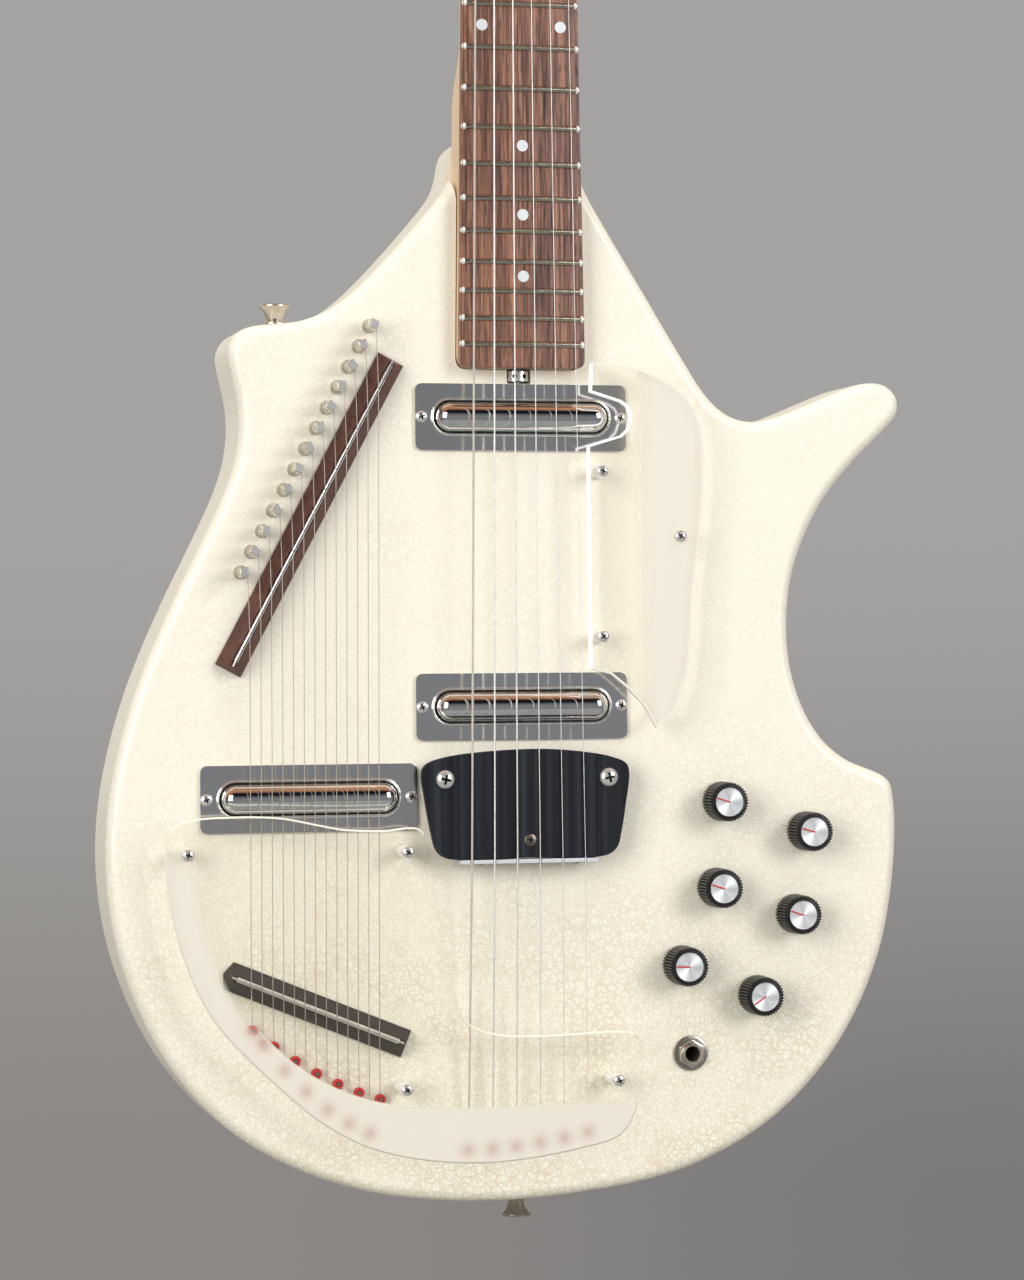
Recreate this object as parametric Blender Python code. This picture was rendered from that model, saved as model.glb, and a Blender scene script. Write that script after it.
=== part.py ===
"""Electric sitar: a six-string electric guitar with a bank of thirteen drone strings.

Sizes are in metres. The origin lies on the centre line at the nut, on the fingerboard's surface.
+X points to the treble side, +Y from the front into the back, and +Z up the neck.
"""
import math

import bmesh
import bpy
from mathutils import Matrix, Vector

MM = 0.001

# Fits between pieces
SEAT = 0.3 * MM
RUNNING = 0.3 * MM

# Longest turn and longest step along a thinned outline
OUTLINE_TURN = math.radians(15)
OUTLINE_REACH = 25 * MM

# Faces that turn by less than this lie in one plane
FLAT_ANGLE = math.radians(0.02)

# Strings and fingerboard
SCALE_LENGTH = 635 * MM
FRET_COUNT = 21
BOARD_OVERHANG = 10.187 * MM
STRING_COUNT = 6
STRING_RADII = (0.58 * MM, 0.46 * MM, 0.35 * MM, 0.27 * MM, 0.24 * MM, 0.20 * MM)
NUT_STRING_PITCH = 6.86 * MM
SADDLE_STRING_PITCH = 10.12 * MM
NUT_STRING_HEIGHT = 2.0 * MM
BOARD_LENGTH = SCALE_LENGTH * (1 - 2 ** (-FRET_COUNT / 12)) + BOARD_OVERHANG
BOARD_HALF_AT_NUT = 21.5 * MM
BOARD_HALF_AT_END = 28.0 * MM
BOARD_THICKNESS = 5.0 * MM
BOARD_CAMBER_RADIUS = 355 * MM
BOARD_CORNER = 4.3 * MM
FRET_WIDTH = 2.3 * MM
FRET_CROWN = 1.1 * MM
NUT_LENGTH = 4.5 * MM

# Height of the fingerboard's end, from which every place on the body is measured
BOARD_END = -BOARD_LENGTH

# Neck and headstock
NECK_DEPTH_AT_NUT = 16.0 * MM
NECK_DEPTH_AT_HEEL = 18.0 * MM
HEEL_DEPTH = 18.5 * MM
HEEL_LENGTH = 116.4 * MM
HEEL_BLEND = 24 * MM
NUT_FLARE = 20 * MM
HEADSTOCK_THICKNESS = 14.0 * MM
TRUSS_ROD_RADIUS = 2.5 * MM
TRUSS_WHEEL_RADIUS = 5.0 * MM
TRUSS_WHEEL_LENGTH = 5.0 * MM
TRUSS_WHEEL_HOLES = 7
TRUSS_WHEEL_HOLE_RADIUS = 1.0 * MM
TRUSS_ROD_TOP = 14 * MM

# Body
BODY_FRONT = 8.5 * MM
BODY_THICKNESS = 44.5 * MM
BODY_EDGE_RADIUS = 5.5 * MM
POCKET_DEPTH = 15.5 * MM
POCKET_LENGTH = 83.4 * MM
POCKET_CORNER = 5.0 * MM
TOOL_REACH = 20 * MM
BODY_BACK = BODY_FRONT + BODY_THICKNESS
BODY_MIDDLE = BODY_FRONT + BODY_THICKNESS / 2

# Neck plate and bolts
NECK_PLATE_SIZE = (50 * MM, 64 * MM)
NECK_PLATE_THICKNESS = 2.0 * MM
NECK_PLATE_CORNER = 5.0 * MM
NECK_PLATE_CENTRE = BOARD_END + 48.4 * MM
NECK_BOLT_SPACING = (38 * MM, 51 * MM)
NECK_BOLT_RADIUS = 2.2 * MM
NECK_BOLT_REACH = 9.0 * MM
NECK_BOLT_HEAD = (4.2 * MM, 1.8 * MM)

# Tuners: a worm on each button's shaft turns a wheel on each post
POST_RADIUS = 3.0 * MM
POST_WAIST_RADIUS = 2.3 * MM
POST_WINDING_RADIUS = 3.6 * MM
POST_HEIGHT = 17 * MM
POST_WINDING_HEIGHT = 4.5 * MM
POST_WINDING_LENGTH = 3.0 * MM
FIRST_POST = 32 * MM
POST_STEP = 26 * MM
GEAR_TEETH = 14
WORM_PITCH = 2.2 * MM
WORM_PITCH_RADIUS = 2.2 * MM
WORM_TURNS = 2
TOOTH_REACH = 0.35 * MM
TOOTH_DEPTH = 1.2 * MM
TOOTH_TIP_HALF = 0.2 * MM
THREAD_CREST_HALF = 0.28 * MM
THREAD_ROOT_HALF = 0.55 * MM
GEAR_WIDTH = 3.0 * MM
BUTTON_SHAFT_RADIUS = 1.15 * MM
BUTTON_LENGTH = 14 * MM
BUTTON_RADIUS = 8.0 * MM
BUTTON_FLATNESS = 0.5
HEADSTOCK_MARGIN = 13 * MM
TUNER_PLATE_THICKNESS = 1.2 * MM
LUG_THICKNESS = 1.2 * MM
LUG_WIDTH = 5.6 * MM

# Pickups
TUBE_LENGTH = 77 * MM
TUBE_RADIUS = 6.5 * MM
TUBE_CENTRE_HEIGHT = 1.0 * MM
BEZEL_SIZE = (94.7 * MM, 29.0 * MM)
BEZEL_CORNER = 3.5 * MM
BEZEL_THICKNESS = 1.2 * MM
BEZEL_LIP_HEIGHT = 2.4 * MM
BEZEL_LIP_WALL = 1.3 * MM
PICKUP_ROUTE_DEPTH = 19 * MM
PICKUPS = {
    "neck": (0.7 * MM, BOARD_END - 21.1 * MM),
    "bridge": (0.2 * MM, BOARD_END - 146.8 * MM),
    "drone": (-94.1 * MM, BOARD_END - 185.4 * MM),
}

# Bridge with its buzz plate
SADDLE_Z = BOARD_END - 213.6 * MM
SADDLE_STRING_HEIGHT = 12.1 * MM
BUZZ_PLATE_KNOTS = ((-46.4, -173.1), (-45.0, -170.0), (-20.0, -166.3), (9.2, -165.3), (30.0, -167.5),
                    (44.7, -171.5), (46.0, -175.4), (41.9, -204.3), (40.0, -208.6), (35.6, -211.7),
                    (0.0, -212.0), (-36.1, -212.1), (-39.6, -210.1), (-41.1, -206.7))
BUZZ_PLATE_EAR_TOP = 10.2 * MM
BUZZ_PLATE_THICKNESS = 3.4 * MM
BUZZ_HUMP_HALF = 30.5 * MM
BUZZ_HUMP_RISE = 1.0 * MM
BRIDGE_BASE_CENTRE = BOARD_END - 192.6 * MM
BRIDGE_BASE_SIZE = (78 * MM, 33 * MM)
BRIDGE_BASE_CORNER = 4.0 * MM
BRIDGE_SCREWS = ((-36.5 * MM, BOARD_END - 178.1 * MM), (36.5 * MM, BOARD_END - 178.1 * MM))
BRIDGE_SCREW_RADIUS = 2.0 * MM
BRIDGE_SCREW_HEAD = (4.0 * MM, 2.2 * MM)
SADDLE_STRIP = (61 * MM, 1.6 * MM, 5.0 * MM)
STRING_TAIL_FIRST = (-25.7 * MM, BOARD_END - 338.6 * MM)
STRING_TAIL_STEP = 10.72 * MM
STRING_TAIL_RISE = 5.9 * MM
BALL_END_RADIUS = 2.3 * MM
BALL_END_HEIGHT = 4.4 * MM

# Drone strings with their pins and bridges
DRONE_COUNT = 13
DRONE_RADIUS = 0.2 * MM
DRONE_FIRST_X = -66.1 * MM
DRONE_PITCH = 4.61 * MM
PIN_FIRST = (-67.1 * MM, BOARD_END + 17.4 * MM)
PIN_STEP = (-4.73 * MM, -8.83 * MM)
PIN_RADIUS = 2.5 * MM
PIN_HEIGHT = 16.0 * MM
PIN_SHOULDER = 9.0 * MM
PIN_FLARE = 1.0 * MM
PIN_SQUARE_HALF = 1.9 * MM
PIN_DEPTH = 20 * MM
PIN_STRING_HEIGHT = 5.0 * MM
UPPER_SADDLE_ENDS = ((-58.9 * MM, BOARD_END + 0.2 * MM), (-127.0 * MM, BOARD_END - 126.5 * MM))
LOWER_SADDLE_ENDS = ((-127.3 * MM, BOARD_END - 261.3 * MM), (-57.5 * MM, BOARD_END - 289.9 * MM))
SADDLE_ROD_RADIUS = 1.1 * MM
DRONE_BRIDGE_HALF_WIDTH = 6.2 * MM
DRONE_BRIDGE_HEIGHT = 8.0 * MM
DRONE_BRIDGE_RIDGE_HALF = 1.6 * MM
UPPER_BRIDGE_OVERHANG = (4.0 * MM, 4.5 * MM)
LOWER_BRIDGE_OVERHANG = (3.2 * MM, 5.5 * MM)
LOWER_BRIDGE_POINT = 3.0 * MM
DRONE_NEAR_TAIL = (BOARD_END - 315.1 * MM, 0.30, 4.8)
DRONE_FAR_TAIL = (BOARD_END - 329.7 * MM, 0.42, 9.5)

# Controls
KNOB_PLACES = ((90.2 * MM, BOARD_END - 189.5 * MM), (129.2 * MM, BOARD_END - 203.3 * MM),
               (87.5 * MM, BOARD_END - 227.4 * MM), (123.7 * MM, BOARD_END - 239.8 * MM),
               (71.4 * MM, BOARD_END - 261.2 * MM), (105.9 * MM, BOARD_END - 275.2 * MM))
KNOB_RADIUS = 8.6 * MM
KNOB_FLUTES = 12
KNOB_FLUTE_DEPTH = 0.45 * MM
KNOB_HEIGHT = 14.6 * MM
KNOB_DISC_RADIUS = 6.9 * MM
KNOB_SHOULDER = 2.6 * MM
KNOB_GAP = 0.8 * MM
SHAFT_RADIUS = 3.0 * MM
BUSHING_RADIUS = 4.2 * MM
POT_RADIUS = 12.0 * MM
POT_HEIGHT = 10.0 * MM
SHIELD_THICKNESS = 1.0 * MM
FRONT_WALL = 5.0 * MM
CAVITY_CORNERS = ((58, -171.6), (120, -171.6), (146, -195.6), (148, -243.6), (128, -285.6), (96, -317.6),
                  (58, -317.6))
CAVITY_CORNER_RADIUS = 9.0 * MM
CAVITY_SHIELD_MARGIN = 3.0 * MM
COVER_LEDGE = 7.0 * MM
COVER_THICKNESS = 2.2 * MM
JACK_PLACE = (75.5 * MM, BOARD_END - 300.2 * MM)
JACK_BORE_RADIUS = 3.3 * MM
JACK_BUSHING_RADIUS = 4.6 * MM
JACK_NUT_RADIUS = 6.3 * MM
JACK_NUT_HEIGHT = 2.2 * MM
JACK_WASHER_RADIUS = 7.85 * MM
JACK_WASHER_HEIGHT = 0.9 * MM
JACK_BARREL_RADIUS = 7.0 * MM
JACK_BARREL_LENGTH = 19 * MM
JACK_RISE = 1.0 * MM

# Clear plates on standoffs
PLATE_THICKNESS = 3.0 * MM
STANDOFF_RADIUS = 3.5 * MM
SCREW_HEAD = (2.9 * MM, 1.8 * MM)
PICKGUARD_TOP = 12.0 * MM
PICKGUARD_KNOTS = ((29.3, 2.1), (43.0, 1.2), (55.6, -1.9), (69.6, -9.6), (77.8, -20.7), (80.0, -31.8),
                   (79.0, -65.4), (74.7, -98.8), (72.1, -132.3), (66.1, -149.0))
PICKGUARD_CORNERS = ((57.9, -156.7), (52.2, -146.6), (44.8, -139.2), (37.4, -133.1), (28.2, -130.8),
                     (27.8, -33.4), (45.8, -19.9), (28.9, -10.5))
PICKGUARD_SCREWS = ((34.4 * MM, BOARD_END - 44.8 * MM), (69.4 * MM, BOARD_END - 73.0 * MM),
                    (34.1 * MM, BOARD_END - 116.7 * MM))
DRONE_COVER_TOP = 14.5 * MM
DRONE_COVER_KNOTS = ((-157.4, -200.1), (-152.5, -194.6), (-132.1, -192.2), (-107.6, -193.0),
                     (-82.8, -198.1), (-62.1, -198.9), (-49.5, -198.3), (-46.1, -202.2), (-43.6, -216.4),
                     (-38.0, -245.6), (-31.5, -276.7), (-27.0, -283.2), (-18.7, -286.6), (-6.9, -288.5),
                     (21.0, -288.3), (41.0, -288.0), (47.5, -289.8), (49.5, -293.8), (49.1, -310.9),
                     (46.4, -322.9), (39.9, -332.9), (24.6, -337.7), (-11.3, -342.7), (-36.4, -342.1),
                     (-58.9, -338.4), (-75.5, -332.8), (-92.1, -323.2), (-108.4, -309.5),
                     (-132.8, -285.3), (-142.4, -271.2), (-150.5, -252.5), (-154.4, -238.8),
                     (-157.6, -219.6))
DRONE_COVER_SCREWS = ((-148.6 * MM, BOARD_END - 208.1 * MM), (-53.8 * MM, BOARD_END - 208.6 * MM),
                      (-55.1 * MM, BOARD_END - 310.2 * MM), (39.0 * MM, BOARD_END - 309.4 * MM))

# Strap buttons
STRAP_UPPER = (-103.8 * MM, BOARD_END + 19.1 * MM)
STRAP_LOWER = (1.5 * MM, BOARD_END - 361.9 * MM)
STRAP_FLANGE_RADIUS = 6.75 * MM
STRAP_NECK_RADIUS = 3.15 * MM
STRAP_FOOT_RADIUS = 4.4 * MM
STRAP_HEIGHT = 9.4 * MM
STRAP_SCREW_RADIUS = 1.8 * MM
STRAP_SCREW_LENGTH = 22 * MM
STRAP_SEAT = 0.9 * MM

# Outlines seen from the front, as X and Z in millimetres, the body's from the fingerboard's end
BODY_KNOTS = (
    (-13.0, 103.6), (-21.2, 101.8), (-26.4, 96.4), (-28.4, 87.4), (-31.1, 79.7), (-39.8, 68.2),
    (-50.7, 55.6), (-64.7, 40.6), (-76.0, 30.2), (-85.5, 24.0), (-96.5, 19.9), (-110.3, 18.3),
    (-117.5, 17.2), (-123.6, 14.2), (-127.2, 7.8), (-126.2, -1.4), (-123.8, -12.1), (-122.7, -24.6),
    (-124.5, -39.6), (-130.7, -57.4), (-149.1, -95.1), (-166.2, -134.1), (-177.2, -171.8),
    (-181.3, -209.6), (-175.4, -252.9), (-156.2, -296.5), (-130.1, -326.1), (-100.6, -344.4),
    (-64.4, -356.8), (-19.8, -361.9), (27.3, -359.9), (74.0, -351.3), (116.3, -329.4), (147.4, -295.5),
    (166.6, -253.1), (172.9, -208.6), (172.2, -188.6), (170.2, -181.8), (164.6, -178.0), (152.0, -173.0),
    (140.5, -164.5), (131.0, -150.6), (124.2, -129.6), (123.3, -103.6), (127.7, -81.8), (140.0, -56.6),
    (157.0, -36.7), (169.9, -24.4), (175.3, -17.6), (175.2, -10.0), (169.4, -4.6), (159.0, -4.2),
    (145.0, -8.9), (122.0, -18.2), (108.0, -21.6), (96.5, -19.0), (87.0, -11.2), (78.0, 1.8),
    (57.0, 36.1), (38.0, 67.2), (31.0, 79.8), (28.2, 88.4), (26.2, 96.8), (21.0, 102.0), (13.0, 103.6))
HEADSTOCK_TREBLE_KNOTS = ((21.5, -6.0), (21.7, 2.0), (24.5, 16.0), (28.0, 40.0), (31.0, 90.0),
                          (33.5, 150.0), (33.0, 170.0), (27.0, 184.0), (15.0, 188.0), (5.0, 183.0))


def metres(points):
    """Turn millimetre pairs into metre pairs."""
    return [(x * MM, z * MM) for x, z in points]


def on_body(points):
    """Turn millimetre pairs, measured from the fingerboard's end, into metre pairs."""
    return [(x, BOARD_END + z) for x, z in metres(points)]


def board_half_width(z):
    """Half the fingerboard's width at height z."""
    share = -z / BOARD_LENGTH
    return BOARD_HALF_AT_NUT + (BOARD_HALF_AT_END - BOARD_HALF_AT_NUT) * share


def fret_z(number):
    """Height of a fret below the nut, from equal temperament."""
    return -SCALE_LENGTH * (1 - 2 ** (-number / 12))


def front(height):
    """Y of a point at a height above the body's front."""
    return BODY_FRONT - height


def string_x(index, z):
    """X of a main string; the strings fan out from the nut to the saddle."""
    place = index - (STRING_COUNT - 1) / 2
    share = z / SADDLE_Z
    return place * (NUT_STRING_PITCH + (SADDLE_STRING_PITCH - NUT_STRING_PITCH) * share)


# Curves and outlines

def spline(knots, steps, closed):
    """A smooth curve through the knots, with steps points for each span (centripetal spacing)."""
    count = len(knots)
    spans = count if closed else count - 1
    points = []
    for span in range(spans):
        if closed:
            four = [Vector(knots[(span + shift) % count]) for shift in (-1, 0, 1, 2)]
        else:
            before = max(span - 1, 0)
            after = min(span + 2, count - 1)
            four = [Vector(knots[place]) for place in (before, span, span + 1, after)]
            if span == 0:
                four[0] = 2 * four[1] - four[2]
            if span == count - 2:
                four[3] = 2 * four[2] - four[1]
        times = [0.0]
        for first, second in zip(four, four[1:]):
            times.append(times[-1] + math.sqrt((second - first).length))
        for step in range(steps):
            points.append(spline_point(four, times, times[1] + (times[2] - times[1]) * step / steps))
    if not closed:
        points.append(Vector(knots[-1]))
    return [(point.x, point.y) for point in points]


def flowing(points, turn, reach):
    """Thin a fine open curve: a point stays where the curve has turned enough or run far enough."""
    kept = [points[0]]
    heading = None
    for place in range(1, len(points) - 1):
        step = Vector(points[place + 1]) - Vector(points[place])
        direction = math.atan2(step.y, step.x)
        if heading is None:
            heading = direction
        change = abs((direction - heading + math.pi) % (2 * math.pi) - math.pi)
        if change >= turn or math.dist(points[place], kept[-1]) >= reach:
            kept.append(points[place])
            heading = direction
    return kept + [points[-1]]


def spline_point(four, times, moment):
    """One point of the curve between the second and third of four knots."""
    row = list(four)
    for level in range(1, 4):
        row = [row[place].lerp(row[place + 1],
                               (moment - times[place]) / (times[place + level] - times[place]))
               for place in range(4 - level)]
    return row[0]


def round_corners(corners, radius, steps=3):
    """Replace each corner of an outline by an arc."""
    points = []
    count = len(corners)
    for place in range(count):
        corner = Vector(corners[place])
        back = Vector(corners[place - 1]) - corner
        ahead = Vector(corners[(place + 1) % count]) - corner
        half = back.angle(ahead) / 2
        reach = min(radius / math.tan(half), 0.48 * back.length, 0.48 * ahead.length)
        start = corner + back.normalized() * reach
        end = corner + ahead.normalized() * reach
        for step in range(steps + 1):
            share = step / steps
            along = start.lerp(corner, share)
            across = corner.lerp(end, share)
            point = along.lerp(across, share)
            points.append((point.x, point.y))
    return points


def grown(corners, distance):
    """Move each side of an outline outwards, or inwards by a negative distance."""
    count = len(corners)
    area = sum(corners[place][0] * corners[(place + 1) % count][1]
               - corners[(place + 1) % count][0] * corners[place][1] for place in range(count))
    turn = 1 if area > 0 else -1
    points = []
    for place in range(count):
        corner = Vector(corners[place])
        first = (corner - Vector(corners[place - 1])).normalized()
        second = (Vector(corners[(place + 1) % count]) - corner).normalized()
        normal_one = turn * Vector((first.y, -first.x))
        normal_two = turn * Vector((second.y, -second.x))
        mitre = (normal_one + normal_two).normalized()
        point = corner + mitre * distance / mitre.dot(normal_one)
        points.append((point.x, point.y))
    return points


def rectangle(centre, size, corner, steps=2):
    """A rounded rectangle round a centre."""
    half_x = size[0] / 2
    half_z = size[1] / 2
    corners = [(centre[0] + side_x * half_x, centre[1] + side_z * half_z)
               for side_x, side_z in ((1, 1), (-1, 1), (-1, -1), (1, -1))]
    return round_corners(corners, corner, steps)


def stadium(centre, length, width, steps):
    """A slot outline with round ends, lying along X, starting at its upper right quarter."""
    radius = width / 2
    straight = length / 2 - radius
    points = []
    for quarter, (side_x, side_z) in enumerate(((1, 1), (-1, 1), (-1, -1), (1, -1))):
        for step in range(steps + 1):
            angle = (quarter + step / steps) * math.pi / 2
            points.append((centre[0] + side_x * straight + radius * math.cos(angle),
                           centre[1] + radius * math.sin(angle)))
    return points


def circle(centre, radius, sides):
    """A regular polygon round a centre, with a flat towards +X."""
    return [(centre[0] + radius * math.cos(2 * math.pi * (side + 0.5) / sides),
             centre[1] + radius * math.sin(2 * math.pi * (side + 0.5) / sides)) for side in range(sides)]


# Meshes

def make_mesh(name, vertices, faces):
    """A closed mesh with its faces pointing out."""
    mesh = bpy.data.meshes.new(name)
    mesh.from_pydata([tuple(vertex) for vertex in vertices], [], faces)
    shape = bmesh.new()
    shape.from_mesh(mesh)
    bmesh.ops.recalc_face_normals(shape, faces=shape.faces)
    shape.to_mesh(mesh)
    shape.free()
    return mesh


def loft(name, rings, ring_closed=False):
    """Skin a row of rings of equal count, with end caps unless the row closes on itself."""
    count = len(rings[0])
    faces = []
    spans = len(rings) if ring_closed else len(rings) - 1
    for row in range(spans):
        here = row * count
        there = (row + 1) % len(rings) * count
        for column in range(count):
            after = (column + 1) % count
            faces.append((here + column, here + after, there + after, there + column))
    if not ring_closed:
        faces.append(tuple(range(count)))
        faces.append(tuple(range((len(rings) - 1) * count, len(rings) * count)))
    return make_mesh(name, [point for ring in rings for point in ring], faces)


def prism(name, outline, y_front, y_back):
    """An outline in X and Z, given a thickness along Y."""
    return loft(name, [[(x, y, z) for x, z in outline] for y in (y_front, y_back)])


def rounded_slab(name, outline, y_front, y_back, radius, steps):
    """A prism whose front and back edges are rounded by arcs of a number of steps."""
    rows = []
    for step in range(steps + 1):
        angle = math.pi / 2 * step / steps
        rows.append((radius * (1 - math.sin(angle)), y_front + radius * (1 - math.cos(angle))))
    for step in reversed(range(steps + 1)):
        angle = math.pi / 2 * step / steps
        rows.append((radius * (1 - math.sin(angle)), y_back - radius * (1 - math.cos(angle))))
    rings = [[(x, y, z) for x, z in grown(outline, -inset)] for inset, y in rows]
    return loft(name, rings)


def turned(name, profile, sides, axis=(0, -1, 0), centre=(0, 0, 0)):
    """Turn a profile of (radius, distance along the axis) pairs; the profile ends on the axis."""
    along = Vector(axis).normalized()
    side = Vector((0, 0, 1)) if abs(along.z) < 0.9 else Vector((1, 0, 0))
    across = along.cross(side).normalized()
    up = across.cross(along)
    vertices = []
    rows = []
    for radius, distance in profile:
        base = Vector(centre) + along * distance
        row = []
        corners = 1 if radius == 0 else sides
        for corner in range(corners):
            angle = 2 * math.pi * (corner + 0.5) / sides
            row.append(len(vertices))
            vertices.append(base + radius * (across * math.cos(angle) + up * math.sin(angle)))
        rows.append(row)
    faces = []
    for first, second in zip(rows, rows[1:]):
        for corner in range(sides):
            after = (corner + 1) % sides
            loop = [first[corner % len(first)], first[after % len(first)],
                    second[after % len(second)], second[corner % len(second)]]
            faces.append(tuple(dict.fromkeys(loop)))
    return make_mesh(name, vertices, faces)


def rod(name, start, end, radius, sides):
    """A straight round bar from start to end."""
    length = (Vector(end) - Vector(start)).length
    profile = ((0, 0), (radius, 0), (radius, length), (0, length))
    return turned(name, profile, sides, Vector(end) - Vector(start), start)


def wire(name, points, radius, sides=4):
    """A thin wire through points that run mostly along Z."""
    rings = []
    for x, y, z in points:
        rings.append([(x + radius * math.cos(2 * math.pi * side / sides),
                       y + radius * math.sin(2 * math.pi * side / sides), z) for side in range(sides)])
    return loft(name, rings)


def box(name, low, high):
    """A plain block between two corners."""
    outline = [(low[0], low[2]), (high[0], low[2]), (high[0], high[2]), (low[0], high[2])]
    return prism(name, outline, low[1], high[1])


def gathered(name, meshes, shifts=None):
    """Several separate shapes held in one mesh, as a tool for cutting or joining."""
    shape = bmesh.new()
    for place, mesh in enumerate(meshes):
        piece = mesh.copy()
        if shifts:
            piece.transform(Matrix.Translation(shifts[place]))
        shape.from_mesh(piece)
        bpy.data.meshes.remove(piece)
    mesh = bpy.data.meshes.new(name)
    shape.to_mesh(mesh)
    shape.free()
    return mesh


def modified(mesh, kind, tool=None, **settings):
    """The mesh after one modifier; a Boolean takes its second shape as tool."""
    carrier = bpy.data.objects.new("carrier", mesh)
    bpy.context.scene.collection.objects.link(carrier)
    modifier = carrier.modifiers.new(kind, kind)
    holder = None
    if tool:
        holder = bpy.data.objects.new("holder", tool)
        bpy.context.scene.collection.objects.link(holder)
        modifier.object = holder
        modifier.solver = "EXACT"
    for key, value in settings.items():
        setattr(modifier, key, value)
    bpy.context.view_layer.update()
    graph = bpy.context.evaluated_depsgraph_get()
    result = bpy.data.meshes.new_from_object(carrier.evaluated_get(graph))
    bpy.data.objects.remove(carrier)
    if holder:
        bpy.data.objects.remove(holder)
    return result


def joined(mesh, *tools):
    """One body made of the mesh and the shapes that run into it."""
    for tool in tools:
        mesh = modified(mesh, "BOOLEAN", tool, operation="UNION")
    return mesh


def cut(mesh, *tools):
    """The mesh less the tools."""
    for tool in tools:
        mesh = modified(mesh, "BOOLEAN", tool, operation="DIFFERENCE")
    return mesh


# Materials and objects

def make_material(name, colour, roughness, metallic, alpha=1.0):
    """A plain finish of one colour."""
    material = bpy.data.materials.new(name)
    material.use_nodes = True
    shader = material.node_tree.nodes["Principled BSDF"]
    shader.inputs["Base Color"].default_value = (*colour, 1)
    shader.inputs["Roughness"].default_value = roughness
    shader.inputs["Metallic"].default_value = metallic
    shader.inputs["Alpha"].default_value = alpha
    return material


def make_finishes():
    """The finishes of the instrument, by name."""
    return {
        "lacquer": make_material("cream_lacquer", (0.86, 0.80, 0.65), 0.35, 0.0),
        "maple": make_material("maple", (0.72, 0.48, 0.24), 0.4, 0.0),
        "rosewood": make_material("rosewood", (0.12, 0.05, 0.035), 0.5, 0.0),
        "chrome": make_material("chrome", (0.6, 0.6, 0.62), 0.1, 1.0),
        "plated": make_material("plated_bezel", (0.4, 0.41, 0.43), 0.3, 1.0),
        "nickel": make_material("nickel", (0.6, 0.58, 0.53), 0.3, 1.0),
        "steel": make_material("string_steel", (0.55, 0.55, 0.55), 0.3, 1.0),
        "aluminium": make_material("aluminium", (0.7, 0.7, 0.7), 0.4, 1.0),
        "black": make_material("black_plastic", (0.015, 0.016, 0.02), 0.25, 0.0),
        "board": make_material("buzz_plate_black", (0.012, 0.013, 0.018), 0.4, 0.0),
        "clear": make_material("clear_acrylic", (0.9, 0.88, 0.8), 0.05, 0.0, 0.35),
        "ivory": make_material("ivory_button", (0.8, 0.74, 0.6), 0.3, 0.0),
        "hardboard": make_material("hardboard", (0.35, 0.24, 0.14), 0.7, 0.0),
    }


def add_piece(name, mesh, material, location=(0, 0, 0), parent=None):
    """One named piece of the instrument, shaded smooth between its sharp edges."""
    mesh.name = name
    shape = bmesh.new()
    shape.from_mesh(mesh)
    bmesh.ops.dissolve_limit(shape, angle_limit=FLAT_ANGLE, verts=shape.verts, edges=shape.edges)
    shape.to_mesh(mesh)
    shape.free()
    mesh.materials.clear()
    mesh.materials.append(material)
    mesh.shade_smooth()
    mesh.set_sharp_from_angle(angle=math.radians(35))
    piece = bpy.data.objects.new(name, mesh)
    piece.location = location
    piece.parent = parent
    bpy.context.scene.collection.objects.link(piece)
    return piece


# Fingerboard, nut and neck

def board_ring(z, half, crown):
    """One cross-section of the fingerboard; crown lifts its top where a fret sits."""
    shares = (-1, -0.4, 0.4, 1)
    top = [(share * half, (share * half) ** 2 / (2 * BOARD_CAMBER_RADIUS) - crown, z)
           for share in shares]
    return top + [(half, BOARD_THICKNESS, z), (-half, BOARD_THICKNESS, z)]


def fingerboard_mesh():
    """The cambered board with its frets and its rounded lower corners."""
    rings = [board_ring(0, BOARD_HALF_AT_NUT, 0)]
    for number in range(1, FRET_COUNT + 1):
        centre = fret_z(number)
        for shift, crown in ((0.5, 0), (0.25, FRET_CROWN), (-0.25, FRET_CROWN), (-0.5, 0)):
            z = centre + shift * FRET_WIDTH
            rings.append(board_ring(z, board_half_width(z), crown))
    for step in range(4):
        angle = step / 3 * math.pi / 2
        z = BOARD_END + BOARD_CORNER * (1 - math.sin(angle))
        inset = BOARD_CORNER * (1 - math.cos(angle))
        rings.append(board_ring(z, board_half_width(z) - inset, 0))
    return loft("fingerboard", rings)


def nut_mesh():
    """The nut, a bar with a notch for each string."""
    seat = BOARD_THICKNESS
    half = BOARD_HALF_AT_NUT
    top = -NUT_STRING_HEIGHT - STRING_RADII[0]
    outline = [(half, seat), (half, top / 2)]
    for index in reversed(range(STRING_COUNT)):
        centre = string_x(index, 0)
        radius = STRING_RADII[index]
        mouth = radius + 4 * SEAT
        outline += [(centre + mouth, top),
                    (centre, -NUT_STRING_HEIGHT + radius + SEAT),
                    (centre - mouth, top)]
    outline += [(-half, top / 2), (-half, seat)]
    rings = [[(x, y, z) for x, y in outline] for z in (SEAT, NUT_LENGTH)]
    return loft("nut", rings)


def neck_ring(z, half, depth, squareness, half_count=8):
    """A cross-section of the neck: flat under the board and rounded behind."""
    points = []
    face = BOARD_THICKNESS + SEAT
    for step in range(half_count + 1):
        angle = math.pi * step / half_count
        cosine = math.cos(angle)
        sine = math.sin(angle)
        x = half * math.copysign(abs(cosine) ** (2 / squareness), cosine)
        y = face + depth * max(sine, 0) ** (2 / squareness)
        points.append((x, y, z))
    return points


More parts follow.
